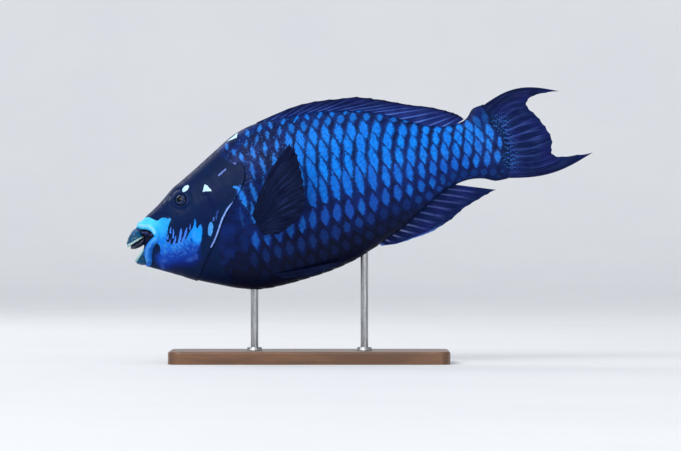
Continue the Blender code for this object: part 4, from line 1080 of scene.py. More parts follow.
PLATE_LONG, PLATE_TALL = 9, 12
PLATE_FRONT, PLATE_FRONT_CURVE = -1.9, 0.7
PLATE_SUNK, PLATE_THICK, PLATE_BEVEL, PLATE_SIDE_DROP = 0.06, 0.62, 0.16, 0.45
MARGIN_POWER = 1.5
GUIDE_POINTS, GUIDE_FROM = 97, 0.050
SCALE_SEED, TOOTH_SEED = 17, 29
# How far a row runs past its table's ends, and how far inside the outline it has to stay
ROW_BEFORE, ROW_AFTER, ROW_INSIDE = 0.020, 0.008, 0.001
# Shift of the columns to the rear, and the depths below the fish's axis where it begins and ends
COLUMN_SHIFTS = ((0.0022, -0.045, -0.020), (0.0015, 0.0, 0.028))
SCALE_JITTER, SCALE_OVER_EDGE = 0.0003, 0.002
SCALE_LEAN, LEAN_BEGINS, LEAN_ENDS = math.radians(17), (-0.020, 0.028), (0.040, 0.060)
BARE_FADE, BARE_LOFT = (0.6, 1.8), 0.35
UNDERSIDE = (0.015, 0.070)
SCALE_MAP_MARGIN, SCALE_PATCH = 0.02, (0.48, 0.42)
GILL_GAP, LAST_SCALE, SMALLEST_SCALE = 0.0035, 0.452, 0.004
MAP_LENGTH = 0.46  # of the body, as it fills the scales' map
SHARP_EDGE = math.radians(50)


def scale_plate():
    """One closed, flat scale in its own units: X in half columns and Y in rows."""
    across = np.linspace(-1, 1, PLATE_TALL + 1)
    across = np.sign(across) * np.abs(across) ** 0.9
    rear = 1 - np.abs(across) ** MARGIN_POWER
    front = PLATE_FRONT + PLATE_FRONT_CURVE * across**2
    share = np.linspace(0, 1, PLATE_LONG + 1) ** 0.8
    x = front[None, :] + (rear - front)[None, :] * share[:, None]
    y = np.tile(across, (PLATE_LONG + 1, 1))
    rise = PLATE_SUNK + (1 - PLATE_SUNK) * (x - PLATE_FRONT) / (1 - PLATE_FRONT)
    rise = rise * (1 - PLATE_SIDE_DROP * np.abs(y) ** 2.5)
    edge = np.minimum(1, np.minimum((1 - share[:, None]) * 7, (1 - np.abs(y)) * 9))
    top = rise - PLATE_BEVEL * (1 - edge) ** 2
    low = np.maximum(rise - PLATE_THICK, 0.0)
    points = np.concatenate([np.stack([x, y, z], axis=-1).reshape(-1, 3) for z in (top, low)])
    faces = thick_faces(PLATE_LONG + 1, PLATE_TALL + 1)
    mesh = mesh_of("scale_plate", points * (1, 1, 0), faces, outwards=False)
    add_numbers(mesh, "local", "FLOAT_VECTOR", points * (1, 1, 0))
    add_numbers(mesh, "rise", "FLOAT", points[:, 2])
    return put("scale_plate", mesh)


def body_guide():
    """Plain body surface that the scales lie on, with no gill cover, in the level frame."""
    places = np.linspace(0, 1, GUIDE_POINTS)
    rings = []
    for station in np.arange(GUIDE_FROM, STEM_END_MIDDLE, TRUNK_STEP):
        rings.append(trunk_ring(form.at(station, places), form.outward(station, places), station))
    rings = whole_rings(np.array(rings))
    faces = grid_faces(rings.shape[0], rings.shape[1], True)
    mesh = mesh_of("body_guide", rings.reshape(-1, 3), faces)
    face_outwards(mesh)
    return put("body_guide", mesh)


def scale_lie(x):
    """Each row's share of the way from back to belly at x, with the belly's own rows added."""
    shares = []
    for row in SCALE_ROWS:
        inside = row[0][0] - ROW_BEFORE <= x <= row[-1][0] + ROW_AFTER
        z = smooth(row)(x)
        if not inside or not belly(x) + ROW_INSIDE < z < back(x) - ROW_INSIDE:
            shares.append(None)
            continue
        y = skin_side(x, z)
        shares.append(float(form.share_at([x], [(-y, z)])[0]))
    low = max([share for share in shares if share is not None], default=0.5)
    return shares + [low + (1 - low) * part for part in BELLY_ROWS]


def scale_seats(side):
    """Seat of each scale of one side: place, direction, size, colour, strength and more."""
    column_at = smooth(COLUMN_AT)
    rng = np.random.default_rng(SCALE_SEED)
    seats = []
    row_count = len(SCALE_ROWS) + len(BELLY_ROWS)
    margin, room = SCALE_MAP_MARGIN, 1 - 2 * SCALE_MAP_MARGIN
    for row in range(row_count):
        for column in range(FIRST_COLUMN, LAST_COLUMN + 1):
            step = column + (0.5 if row % 2 == 0 else 0.0)
            x = float(column_at(step))
            pitch = float(column_at(step + 0.5) - column_at(step - 0.5))
            shares = scale_lie(x)
            share = shares[row]
            if share is None:
                continue
            z_here = float(form.at(x, share)[2])
            x += sum(shift * fade(-z_here, start, end) for shift, start, end in COLUMN_SHIFTS)
            x += rng.normal(0, SCALE_JITTER)
            girth = float(form.length_round(x))
            above = shares[row - 1] if row else None
            below = shares[row + 1] if row + 1 < row_count else None
            up = share if above is None else share - above
            down = 1 - share if below is None else below - share
            tall = girth * (min(up, down) if None in (above, below) else (up + down) / 2)
            tall = min(tall, girth * min(share, 1 - share) + SCALE_OVER_EDGE)
            z = float(form.at(x, share)[2])
            # No scales over the painted highlight on the nape
            on_nape_glint = NAPE_GLINT_BARE[0] < x < NAPE_GLINT_BARE[1] and z > NAPE_GLINT_BARE[2]
            if tall < SMALLEST_SCALE or x < gill_edge(z) + GILL_GAP or x > LAST_SCALE or on_nape_glint:
                continue
            point = form.at(x, share)
            out = form.outward(np.array(x), np.array(share))
            along = unit(form.at(x + 0.002, share) - form.at(x - 0.002, share))
            upward = unit(np.cross(along, out))
            if upward[2] < 0:
                upward = -upward
            lean = SCALE_LEAN * fade(-z, *LEAN_BEGINS) * (1 - fade(-z, *LEAN_ENDS))
            lie = along * math.cos(lean) - upward * math.sin(lean)
            strength, colour, slim, mark_tall = mark_of_scale(x * MM, z * MM, row)
            point[0] -= stem_bend(x) * (point[2] / STEM_END_HALF_HEIGHT) ** 2
            mirror = np.array([1.0, -side, 1.0])
            pectoral = math.hypot(x - PECTORAL_BASE_AT[0], z - PECTORAL_BASE_AT[1])
            pelvic = math.hypot(x - PELVIC_ROOT[1][0], z - PELVIC_ROOT[1][1])
            bare = fade(min(pectoral, pelvic) / BARE_SKIN_REACH, *BARE_FADE)
            seats.append({
                "point": point * mirror, "out": out * mirror, "lie": lie * mirror,
                "size": (pitch / 2, tall, 1.0), "tint": colour, "strength": strength,
                "loft": BARE_LOFT + (1 - BARE_LOFT) * bare, "seed": rng.random(), "slim": slim,
                "tall": mark_tall, "shade": fade(-z, *UNDERSIDE),
                "root": (margin + room * x / MAP_LENGTH, margin + room * share, 0.0),
                "patch": (SCALE_PATCH[0] * pitch / MAP_LENGTH, SCALE_PATCH[1] * tall / girth, 0.0),
            })
    return seats


class SeatNodes(Nodes):
    """Node tree that sets a shape on each seat of a mesh of points."""

    def __init__(self, name, **kinds):
        """kinds gives the kind of each of the tree's own inputs."""
        super().__init__(bpy.data.node_groups.new(name, "GeometryNodeTree"))
        self.keys = {}
        new_socket = self.tree.interface.new_socket
        for word, kind in {"Geometry": "Geometry", **kinds}.items():
            socket = new_socket(word, in_out="INPUT", socket_type=f"NodeSocket{kind}")
            self.keys[word] = socket.identifier
        new_socket("Geometry", in_out="OUTPUT", socket_type="NodeSocketGeometry")
        self.given = self.add("NodeGroupInput").outputs

    def named(self, name, kind="FLOAT_VECTOR"):
        inputs = {"Name": name}
        return self.add("GeometryNodeInputNamedAttribute", inputs, data_type=kind).outputs[0]

    def scaled(self, vector, scale):
        inputs = {0: vector, "Scale": scale}
        return self.add("ShaderNodeVectorMath", inputs, operation="SCALE").outputs[0]

    def seated(self, shape, scale):
        """Copies of a shape on all seats, joined in one mesh."""
        axes = {0: self.named("out"), 1: self.named("lie")}
        turn = self.add("FunctionNodeAxesToRotation", axes, primary_axis="Z", secondary_axis="X")
        copies = self.add("GeometryNodeInstanceOnPoints", {
            "Points": self.given["Geometry"], "Instance": shape, "Rotation": turn.outputs[0],
            "Scale": self.scaled(self.named("size"), scale),
        })
        return self.add("GeometryNodeRealizeInstances", {0: copies.outputs[0]}).outputs[0]

    def close(self, geometry, material):
        coated = self.add("GeometryNodeSetMaterial", {"Geometry": geometry, "Material": material})
        self.add("NodeGroupOutput", {"Geometry": coated.outputs[0]})

    def grow(self, name, seats, numbers, **inputs):
        """Mesh that the tree grows on seats. numbers gives each attribute's kind and rows."""
        mesh = bpy.data.meshes.new(name)
        mesh.from_pydata([tuple(map(float, seat)) for seat in seats], [], [])
        for word, (kind, rows) in numbers.items():
            add_numbers(mesh, word, kind, rows)
        holder = put(name, mesh)
        growth = holder.modifiers.new(name, "NODES")
        growth.node_group = self.tree
        for word, value in inputs.items():
            growth[self.keys[word]] = value
        graph = bpy.context.evaluated_depsgraph_get()
        grown = bpy.data.meshes.new_from_object(holder.evaluated_get(graph))
        bpy.data.objects.remove(holder)
        return grown


def scale_tree(material):
    """Node tree that sets a plate on each seat, lays it on the body and joins them all."""
    nodes = SeatNodes("scale_coat", Plate="Object", Body="Object", Lift="Float", Size="Float")
    plate, body = (
        nodes.add(
            "GeometryNodeObjectInfo", {"Object": nodes.given[word]}, transform_space="ORIGINAL"
        )
        for word in ("Plate", "Body")
    )
    joined = nodes.seated(plate.outputs["Geometry"], nodes.given["Size"])
    nearest, outward = (
        nodes.add("GeometryNodeSampleNearestSurface", {
            "Mesh": body.outputs["Geometry"],
            "Value": nodes.add(f"GeometryNodeInput{word}").outputs[0],
        }, data_type="FLOAT_VECTOR").outputs[0]
        for word in ("Position", "Normal")
    )
    rise = nodes.times(nodes.named("rise", "FLOAT"), nodes.given["Lift"])
    rise = nodes.times(rise, nodes.named("loft", "FLOAT"))
    off = nodes.scaled(outward, rise)
    place = nodes.add("ShaderNodeVectorMath", {0: nearest, 1: off}, operation="ADD")
    laid = nodes.add("GeometryNodeSetPosition", {"Geometry": joined, "Position": place.outputs[0]})
    nodes.close(laid.outputs[0], material)
    return nodes


def scale_material(settings):
    """Dark scale with a light lens-shaped mark, a fine rim and growth lines."""
    material, nodes = new_material(
        "parrotfish_scale", coat_weight=0.02, coat_roughness=0.2, specular_ior_level=0.06
    )
    local = nodes.read("local", "Vector")
    split = nodes.add("ShaderNodeSeparateXYZ", {0: local})
    seed, strength = nodes.read("seed"), nodes.read("strength")
    wobble = nodes.minus(nodes.noise(280, 5, roughness=0.7), 0.5)
    slim = nodes.read("slim")
    lean = nodes.times(slim, nodes.spread(seed, 0, 1, -0.2, 0.9, False))
    lean = nodes.times(lean, split.outputs[1])
    width = nodes.spread(slim, 0, 1, settings.mark_wide, settings.mark_wide * 0.5, False)
    back_off = nodes.spread(seed, 0, 1, -0.16, 0.16, False)
    back_off = nodes.plus(nodes.times(back_off, slim), settings.mark_back)
    back_off = nodes.plus(back_off, lean)
    along = nodes.math("ABSOLUTE", nodes.minus(split.outputs[0], back_off))
    along = nodes.math("POWER", nodes.math("DIVIDE", along, width), 1.25)
    tall = nodes.times(nodes.read("tall"), settings.mark_tall)
    up = nodes.math("DIVIDE", nodes.math("ABSOLUTE", split.outputs[1]), tall)
    up = nodes.math("POWER", up, 1.6)
    reach = nodes.plus(along, up)
    wild = nodes.spread(slim, 0, 1, 2.0, 4.2, False)
    reach = nodes.plus(reach, nodes.times(wobble, wild))
    reach = nodes.plus(reach, nodes.spread(seed, 0, 1, -0.10, 0.12, False))
    mark = nodes.spread(reach, 1.14, 0.86)
    mark = nodes.times(mark, strength)
    core = nodes.spread(reach, 1.0, 0.5)
    tint = nodes.read("tint", "Color")
    pale = nodes.mix(0.08, tint, settings.mark_edge)
    bright = nodes.mix(nodes.spread(seed, 0, 1, 0.1, 0.6, False), tint, settings.mark_core)
    bright = nodes.mix(nodes.read("shade"), bright, tint)
    light = nodes.mix(core, pale, bright)
    light = nodes.patches(light, settings.mark_edge, 480, 4, 0.42, 0.72, 0.35, roughness=0.65)
    light = nodes.patches(light, settings.mark_deep, 290, 3, 0.45, 0.62, 0.55, roughness=0.6)
    fibre = nodes.noise(2.2, 3, nodes.stretched(nodes.place(), (420.0, 420.0, 90.0)))
    light = nodes.mix(nodes.spread(fibre, 0.4, 0.7, 0.0, 0.3), light, settings.net)
    ground = nodes.patches(settings.net, settings.net_deep, 70, 3, 0.35, 0.7)
    ground = nodes.mix(nodes.read("shade"), ground, settings.net_under)
    halo = nodes.times(nodes.spread(reach, 1.7, 1.2), strength)
    ground = nodes.mix(nodes.times(halo, 0.30), ground, tint)
    specks = nodes.spread(nodes.noise(420, 3, roughness=0.6), 0.56, 0.68, 0.0, 0.55)
    specks = nodes.times(nodes.times(specks, slim), strength)
    ground = nodes.mix(specks, ground, tint)
    outline = nodes.times(nodes.spread(reach, 1.32, 1.18), nodes.spread(reach, 1.02, 1.14))
    outline = nodes.times(outline, strength)
    ground = nodes.mix(nodes.times(outline, 0.7), ground, settings.net_under)
    colour = nodes.mix(mark, ground, light)
    lines = nodes.add("ShaderNodeTexWave", {
        "Vector": nodes.stretched(local, (1.0, 0.55, 1.0)),
        "Scale": 3.2, "Distortion": 1.5, "Detail": 2.0,
    }, wave_type="RINGS").outputs["Fac"]
    grain = nodes.bump(nodes.noise(800, 3), 0.0002, 0.35)
    nodes.finish(colour, nodes.uneven(220, 3, 0.28, 0.42), nodes.bump(lines, 0.00012, 0.5, grain))
    return material


def build_scales(settings):
    plate, guide = scale_plate(), body_guide()
    tree = scale_tree(scale_material(settings))
    kinds = dict.fromkeys(("out", "lie", "size", "root", "patch"), "FLOAT_VECTOR")
    kinds.update(dict.fromkeys(("strength", "loft", "seed", "slim", "tall", "shade"), "FLOAT"))
    kinds["tint"] = "FLOAT_COLOR"
    for word, side in SIDES:
        seats = scale_seats(side)
        numbers = {name: (kind, [seat[name] for seat in seats]) for name, kind in kinds.items()}
        mesh = tree.grow(
            f"scales_{word}", [seat["point"] for seat in seats], numbers,
            Plate=plate, Body=guide, Lift=settings.lift, Size=settings.size,
        )
        names = ("local", "root", "patch")
        local, root, patch = (read_vectors(mesh, name)[:, :2] for name in names)
        add_map(mesh, root + patch * np.clip(local, -1, 1))
        drop_numbers(mesh, "root", "patch", "out", "lie", "size", "loft", "rise")
        mesh.shade_smooth()
        mesh.set_sharp_from_angle(angle=SHARP_EDGE)
        add_piece(f"scales_{word}", mesh)
    for helper in (plate, guide):
        bpy.data.objects.remove(helper)


# Fins


MEMBRANE_TIP, RAY_TIP, FIN_WAVE = 0.00055, 0.0008, 0.00035
MEMBRANE_ROOT, MARGIN_THIN = 0.55, 0.7  # as shares of the skin's thickness
COLUMNS_PER_RAY = 12
RAY_NOTCH, SPINE_NOTCH = 0.022, 0.045  # depth of the margin's notches, as shares of the rays
RAY_WIDE, SPINE_WIDE = 0.20, 0.16  # as shares of the rays' spacing
JOINT_PACE, JOINT_DEPTH = 150, 0.10
RAY_FORK = 0.17  # distance of a branch from its ray's middle, as a share of the rays' spacing


def fin_mesh(name, surface, rays, spines, thick, steps):
    """Thin fin whose spines stay whole and whose soft rays branch on their way out.

    surface(across, out) gives points of the fin's middle surface. across runs from the first ray
    to the last, out from root to margin. thick is that of a ray and of the skin, at the root.
    """
    columns = COLUMNS_PER_RAY * (rays - 1)
    across = np.linspace(0, 1, columns + 1)[:, None] * np.ones((1, steps + 1))
    share = np.ones((columns + 1, 1)) * np.linspace(0, 1, steps + 1)[None, :]
    ray_number = across * (rays - 1)
    off_ray = ray_number - np.round(ray_number)
    from_ray = np.abs(off_ray)
    spiny = ray_number < spines - 0.5
    depth = np.where(spiny, SPINE_NOTCH, RAY_NOTCH) * (1 - (1 - 2 * from_ray) ** 2)
    out = share * (1 - depth)
    middle = surface(across, out)
    wide = np.where(spiny, SPINE_WIDE, RAY_WIDE) * (1 - 0.45 * share)
    branch = np.where(spiny, 0.0, RAY_FORK * fade(share, 0.38, 0.95))
    ridge = bell(from_ray - branch, wide) * (1 - 0.25 * branch / RAY_FORK)
    fork = np.where(spiny, 0.0, 0.5 * fade(share, 0.68, 1.0))
    ridge = ridge * (1 - 0.35 * fork * np.abs(np.cos((from_ray - branch) / 0.07)))
    jointed = np.where(spiny, 0, fade(share, 0.25, 0.5))
    joints = 1 - JOINT_DEPTH * jointed * (0.5 + 0.5 * np.cos(share * JOINT_PACE)) ** 6
    ray = (thick[0] + (RAY_TIP - thick[0]) * share**0.8) * ridge * joints
    root = thick[1] * MEMBRANE_ROOT
    skin = root + (MEMBRANE_TIP - root) * share
    half = np.maximum(skin, np.hypot(skin * 0.4, ray)) / 2
    half *= np.where(share > 0.985, MARGIN_THIN, 1.0)
    wave = FIN_WAVE * np.sin(2 * math.pi * ray_number) * fade(share, 0.2, 0.8)
    over, down = np.gradient(middle, axis=0), np.gradient(middle, axis=1)
    outward = unit(np.cross(over, down))
    middle = middle + outward * wave[..., None]
    points = [(middle + outward * off[..., None]).reshape(-1, 3) for off in (half, -half)]
    mesh = mesh_of(name, np.concatenate(points), thick_faces(columns + 1, steps + 1))
    lie = np.stack([ray_number, out, ridge], axis=-1).reshape(-1, 3)
    add_numbers(mesh, "lie", "FLOAT_VECTOR", np.vstack([lie, lie]))
    half_map = np.stack([across * 0.98 + 0.01, share * 0.47 + 0.015], axis=-1).reshape(-1, 2)
    add_map(mesh, np.vstack([half_map, half_map + (0, 0.5)]))
    return mesh, np.vstack([middle.reshape(-1, 3)] * 2), np.vstack([lie, lie])


def fin_material(settings):
    """Dark fin skin with lighter rays and fine streaks along them."""
    material, nodes = new_material(
        "parrotfish_fin", coat_weight=0.01, coat_roughness=0.25, specular_ior_level=0.04
    )
    lie = nodes.read("lie", "Vector")
    streak = nodes.noise(2.6, 4, nodes.stretched(lie, (3.0, 0.9, 0.0)), 0.6)
    streak = nodes.spread(streak, 0.45, 0.75, 0.0, 0.5)
    colour = nodes.mix(streak, nodes.read("marking", "Color"), settings.fin_streak, "SCREEN")
    colour = nodes.patches(colour, settings.fin_shade, 60, 4, 0.35, 0.7, 0.55, blend="MULTIPLY")
    fibre = nodes.bump(nodes.noise(9, 4, nodes.stretched(lie, (6.0, 1.2, 0.0))), 0.00025, 0.6)
    grain = nodes.bump(nodes.noise(700, 3), 0.00015, 0.4, fibre)
    nodes.finish(colour, nodes.uneven(180, 3, 0.34, 0.52), grain)
    return material


def dorsal_surface(across, out):
    sweep = DORSAL_SWEEP * np.sin(math.pi * across)
    x = DORSAL_FROM + (DORSAL_TO - DORSAL_FROM) * (across - sweep)
    root = np.stack([x, back(x) - 0.0010], axis=-1)
    place = root + (path(DORSAL_MARGIN)(across + sweep) - root) * out[..., None]
    return np.stack([place[..., 0], 0 * out, place[..., 1]], axis=-1)


def anal_surface(across, out):
    x = ANAL_FROM + (ANAL_TO - ANAL_FROM) * across
    root = np.stack([x, belly(x) + 0.0010], axis=-1)
    place = root + (path(ANAL_MARGIN)(across) - root) * out[..., None]
    return np.stack([place[..., 0], 0 * out, place[..., 1]], axis=-1)


def tail_surface(across, out):
    z = TAIL_ROOT_TOP + (TAIL_ROOT_BOTTOM - TAIL_ROOT_TOP) * across
    curve = STEM_END_EDGE * (z / STEM_END_HALF_HEIGHT) ** 2
    root = np.stack([STEM_END_MIDDLE - curve - 0.0030, z], axis=-1)
    top, bottom = np.maximum(1 - 2 * across, 0), np.maximum(2 * across - 1, 0)
    bow = top * TAIL_BOW_TOP + bottom * TAIL_BOW_BOTTOM
    place = root + (path(TAIL_MARGIN)(across) - root) * out[..., None]
    return np.stack([place[..., 0], 0 * out, place[..., 1] + bow * np.sin(math.pi * out)], axis=-1)


def pectoral_surface(side):
    def surface(across, out):
        seat = path(PECTORAL_ROOT)(across)
        x, z = seat[..., 0], seat[..., 1]
        root, _ = skin_point(x, z, side, trunk_lift(x, z) + PECTORAL_ROOT_OFF)
        tip = path(PECTORAL_MARGIN)(across)
        reach = np.hypot(tip[..., 0] - x, tip[..., 1] - z)
        bow = (1 - across) * np.sin(math.pi * out)
        place = seat + (tip - seat) * out[..., None]
        away = reach * PECTORAL_SPREAD * out + PECTORAL_CUP * np.sin(math.pi * out)
        root_share = (1 - out) ** 2
        return np.stack([
            place[..., 0] - PECTORAL_BOW_FORWARD * bow + (root[..., 0] - x) * root_share,
            root[..., 1] + side * away,
            place[..., 1] + PECTORAL_BOW * bow + (root[..., 2] - z) * root_share,
        ], axis=-1)

    return surface


def pelvic_surface(side):
    def surface(across, out):
        seat = path(PELVIC_ROOT)(across)
        place = seat + (path(PELVIC_MARGIN)(across) - seat) * out[..., None]
        off = PELVIC_ROOT_OFF + PELVIC_OVER_SCALES * fade(out, 0.0, 0.3) + PELVIC_STAND_OFF * out
        return skin_point(place[..., 0], place[..., 1], side, off)[0]

    return surface


def fin_colour(points, lie, kind):
    """Colour of a fin at its points, from their place on the fish and along the rays."""
    x, z = points[:, 0] * MM, points[:, 2] * MM
    number, out, ridge = lie.T
    colour = plain(TINT["fin"], x)
    colour = blend(colour, TINT["fin_plum"], fade(ripple(x, z, 30, 41), -0.4, 1.0))
    rays = fade(ridge, 0.45, 0.95)
    streaky = 0.5 + 0.5 * ripple(number * 9, out * 7, 7, 43)
    if kind == "dorsal":
        near = fade(-out, -0.62 - 0.3 * fade(x, 280, 350), -0.10)
        colour = blend(colour, TINT["dorsal_root"], near * 0.55)
        colour = blend(colour, TINT["dorsal_rear"], fade(x, 290, 350) * 0.5)
        # Pale streaks along the rays, strongest near the root: painted highlight
        lines = rays * (0.25 * fade(-out, -1.0, -0.4) + near * (0.25 + 0.5 * streaky))
        colour = blend(colour, TINT["dorsal_ray_glint"], lines)
        colour = blend(colour, TINT["dorsal_edge"], fade(out, 0.80, 0.98) * 0.85)
    elif kind == "anal":
        edge = fade(out, 0.86, 0.96) * fade(-x, -362, -330) + fade(-number, -0.5, -0.05)
        colour = blend(colour, TINT["anal_edge"], edge * 0.85)
        front = fade(-out, -0.55, -0.2) * fade(-x, -330, -300)
        colour = blend(colour, TINT["anal_front"], rays * front * 0.8)
        colour = blend(colour, TINT["anal_rays"], rays * fade(-out, -0.9, -0.3) * 0.45)
    elif kind == "tail":
        middle = fade(-np.abs(z - 2), -34, -16)
        lines = rays * (0.2 + 0.5 * middle) * (0.4 + 0.6 * streaky)
        colour = blend(colour, TINT["tail_rays"], lines)
        fleck = fade(ripple(x, z, 3.6, 12), 0.0, 0.9) * fade(-x, -470, -455)
        colour = blend(colour, TINT["tail_fleck"], fleck * fade(-np.abs(z), -42, -22) * 0.85)
        colour = blend(colour, TINT["tail_edge"], fade(np.abs(z - 2), 38, 48) * 0.5)
    else:
        colour = blend(colour, TINT["paired_fin"], 0.85 * np.ones(len(x)))
        colour = blend(colour, TINT["paired_rays"], rays * 0.22 * (0.3 + 0.7 * streaky))
    colour[:, 3] = 1.0
    return colour


# Each fin: its rays, how many of them are spines, the thickness of a ray and of the skin at the
# root, and its steps from root to margin
FINS = {
    "dorsal": (DORSAL_RAYS, DORSAL_SPINES, (0.0032, 0.0020), 40),
    "anal": (ANAL_RAYS, ANAL_SPINES, (0.0030, 0.0018), 36),
    "tail": (TAIL_RAYS, 0, (0.0042, 0.0036), 64),
    "pectoral": (PECTORAL_RAYS, 0, (0.0028, 0.0018), 60),
    "pelvic": (PELVIC_RAYS, PELVIC_SPINES, (0.0024, 0.0016), 40),
}


def build_fins(settings):
    material = fin_material(settings)
    jobs = [
        ("dorsal", "", dorsal_surface, ("dorsal_fin",)), ("anal", "", anal_surface, ("anal_fin",)),
        ("tail", "", tail_surface, ("tail_fin_upper", "tail_fin_middle", "tail_fin_lower")),
    ]
    for word, side in SIDES:
        for kind, surface in (("pectoral", pectoral_surface), ("pelvic", pelvic_surface)):
            jobs.append((kind, f"_{word}", surface(side), (f"{kind}_fin_{word}",)))
    for kind, end, surface, nodes in jobs:
        name = f"{kind}_fin_skin{end}"
        mesh, points, lie = fin_mesh(name, surface, *FINS[kind])
        add_numbers(mesh, "marking", "FLOAT_COLOR", fin_colour(points, lie, kind))
        add_piece(name, mesh, material, nodes)


# Beak


def beak_rings(slices, grow=0.0):
    """Points of a beak's outer surface, ring after ring from its cutting edge to its root."""
    table = np.array(slices)
    share = np.linspace(0, 1, len(table))
    read = [smooth(np.column_stack([share, table[:, k]])) for k in range(4)]
    turn = np.linspace(0.0, 2 * math.pi, BEAK_SIDES, endpoint=False)
    rings = []
    for s in np.linspace(0, 1, BEAK_SLICES):
        height, front, half, rear = (axis(s) for axis in read)
        middle, reach = (front + rear) / 2, (rear - front) / 2 + grow
        cos, sin = np.cos(turn), np.sin(turn)
        along = middle - reach * np.sign(cos) * np.abs(cos) ** BEAK_ALONG_POWER
        across = (half + grow) * np.sign(sin) * np.abs(sin) ** BEAK_ACROSS_POWER
        rings.append(np.column_stack([along, across, np.full(BEAK_SIDES, height)]))
    return np.array(rings)


def beak_place(tip, slope):
    return Matrix.Translation((tip[0], 0.0, tip[1])) @ Matrix.Rotation(-slope, 4, "Y")


TOOTH_ROWS, TEETH_IN_ROW, TOOTH_SIZE = 5, 34, 0.00075
TOOTH_ROW_STEP, TOOTH_ARC, TOOTH_BACK = 1.55, math.radians(207), 0.0002
# Length, thickness and depth in the plate of a tooth on the edge and of one further in
EDGE_TOOTH, INNER_TOOTH = (1.35, 1.0, 0.55), (1.05, 0.62, 0.42)


def tooth_tree(material):
    """Node tree that sets a small tooth on each seat and joins them all."""
    nodes = SeatNodes("beak_teeth", Size="Float")
    bead = nodes.add("GeometryNodeMeshUVSphere", {"Segments": 10, "Rings": 6, "Radius": 1.0})
    nodes.close(nodes.seated(bead.outputs[0], nodes.given["Size"]), material)
    return nodes


def beak_material(settings):
    """Teal plate with a cream cutting edge and a paler root."""
    material, nodes = new_material(
        "parrotfish_beak", coat_weight=0.06, coat_roughness=0.15, specular_ior_level=0.12
    )
    height = nodes.read("height")
    wobble = nodes.times(nodes.minus(nodes.noise(260, 4), 0.5), 0.0016)
    height = nodes.plus(height, wobble)
    body = nodes.patches(settings.beak, settings.beak_deep, 190, 4, 0.35, 0.68)
    body = nodes.mix(nodes.spread(height, 0.0060, 0.0125, 0.0, 0.55), body, settings.beak_root)
    body = nodes.patches(body, settings.beak_edge, 170, 3, 0.56, 0.70, 0.45, roughness=0.6)
    colour = nodes.mix(nodes.spread(height, 0.0024, 0.0010), body, settings.beak_edge)
    # Inside of the beak's cup: painted shade, in the near black of the tongue pad
    colour = nodes.mix(nodes.spread(height, -0.0006, -0.0022), colour, settings.tongue)
    across = nodes.add("ShaderNodeSeparateXYZ", {0: nodes.place()}).outputs[1]
    seam = nodes.spread(nodes.math("ABSOLUTE", across), 0.0005, 0.0001)
    colour = nodes.mix(nodes.times(seam, 0.7), colour, settings.tongue)
    stain = nodes.spread(nodes.cells(900), 0.0, 0.8, 0.0, 0.25)
    colour = nodes.mix(stain, colour, settings.beak_stain, "MULTIPLY")
    pits = nodes.bump(nodes.cells(1100), 0.0002, 0.5, nodes.bump(seam, -0.0004, 0.8))
    scratch = nodes.noise(500, 5, nodes.stretched(nodes.place(), (0.5, 1, 1)))
    nodes.finish(colour, nodes.uneven(300, 3, 0.22, 0.40), nodes.bump(scratch, 0.0002, 0.4, pits))
    return material


def build_beaks(settings):
    material = beak_material(settings)
    tree = tooth_tree(material)
    jobs = (
        ("beak_upper", UPPER_BEAK, beak_place(UPPER_BEAK_TIP, UPPER_BEAK_SLOPE)),
        ("beak_lower", LOWER_BEAK, beak_place(LOWER_BEAK_TIP, LOWER_BEAK_SLOPE)),
    )
    for name, slices, place in jobs:
        rings = beak_rings(slices)
        sign = math.copysign(1.0, slices[-1][0])
        edge = rings[0]
        centre = edge.mean(axis=0)
        steps = []
        for wall, deep in BEAK_INSIDE:
            inner = centre + (edge - centre) * (1 - BEAK_WALL / slices[0][2] * wall)
            inner[:, 2] += sign * BEAK_CUP * deep
            steps.append(inner)
        rings = np.concatenate([np.array(steps[::-1]), rings])
        count = rings.shape[0]
        faces = grid_faces(count, BEAK_SIDES, True)
        for first in (0, (count - 1) * BEAK_SIDES):
            faces.append(tuple(range(first, first + BEAK_SIDES)))
        points = rings.reshape(-1, 3)
        mesh = mesh_of(f"{name}_plate", points, faces)
        height = np.abs(points[:, 2])
        height[:len(steps) * BEAK_SIDES] *= -1
        add_numbers(mesh, "height", "FLOAT", height)
        mesh.transform(place)
        add_piece(f"{name}_plate", mesh, material, (name,))
        add_teeth(name, slices, place, tree, settings.tooth_size)


def gape_shade_material(settings):
    material, nodes = new_material("tongue", coat_weight=0.2, coat_roughness=0.2)
    # Near black pad with lighter patches: painted shade in the gape
    colour = nodes.patches(settings.tongue, settings.tongue_light, 300, 4, 0.35, 0.7)
    dimples = nodes.bump(nodes.cells(1300), 0.0003, 0.6)
    nodes.finish(colour, nodes.uneven(500, 2, 0.3, 0.5), dimples)
    return material


def build_tongue(settings):
    """Thick tongue pad that fills the back of the gape, near black as painted shade."""
    mesh = ball("tongue", 48, 32, lambda at: -TONGUE_GROOVE * bell(at.y, TONGUE_GROOVE))
    mesh.transform(Matrix.Diagonal((*TONGUE_SIZE, 1.0)))
    mesh.transform(beak_place(TONGUE_AT, TONGUE_SLOPE))
    add_piece("tongue", mesh, gape_shade_material(settings))


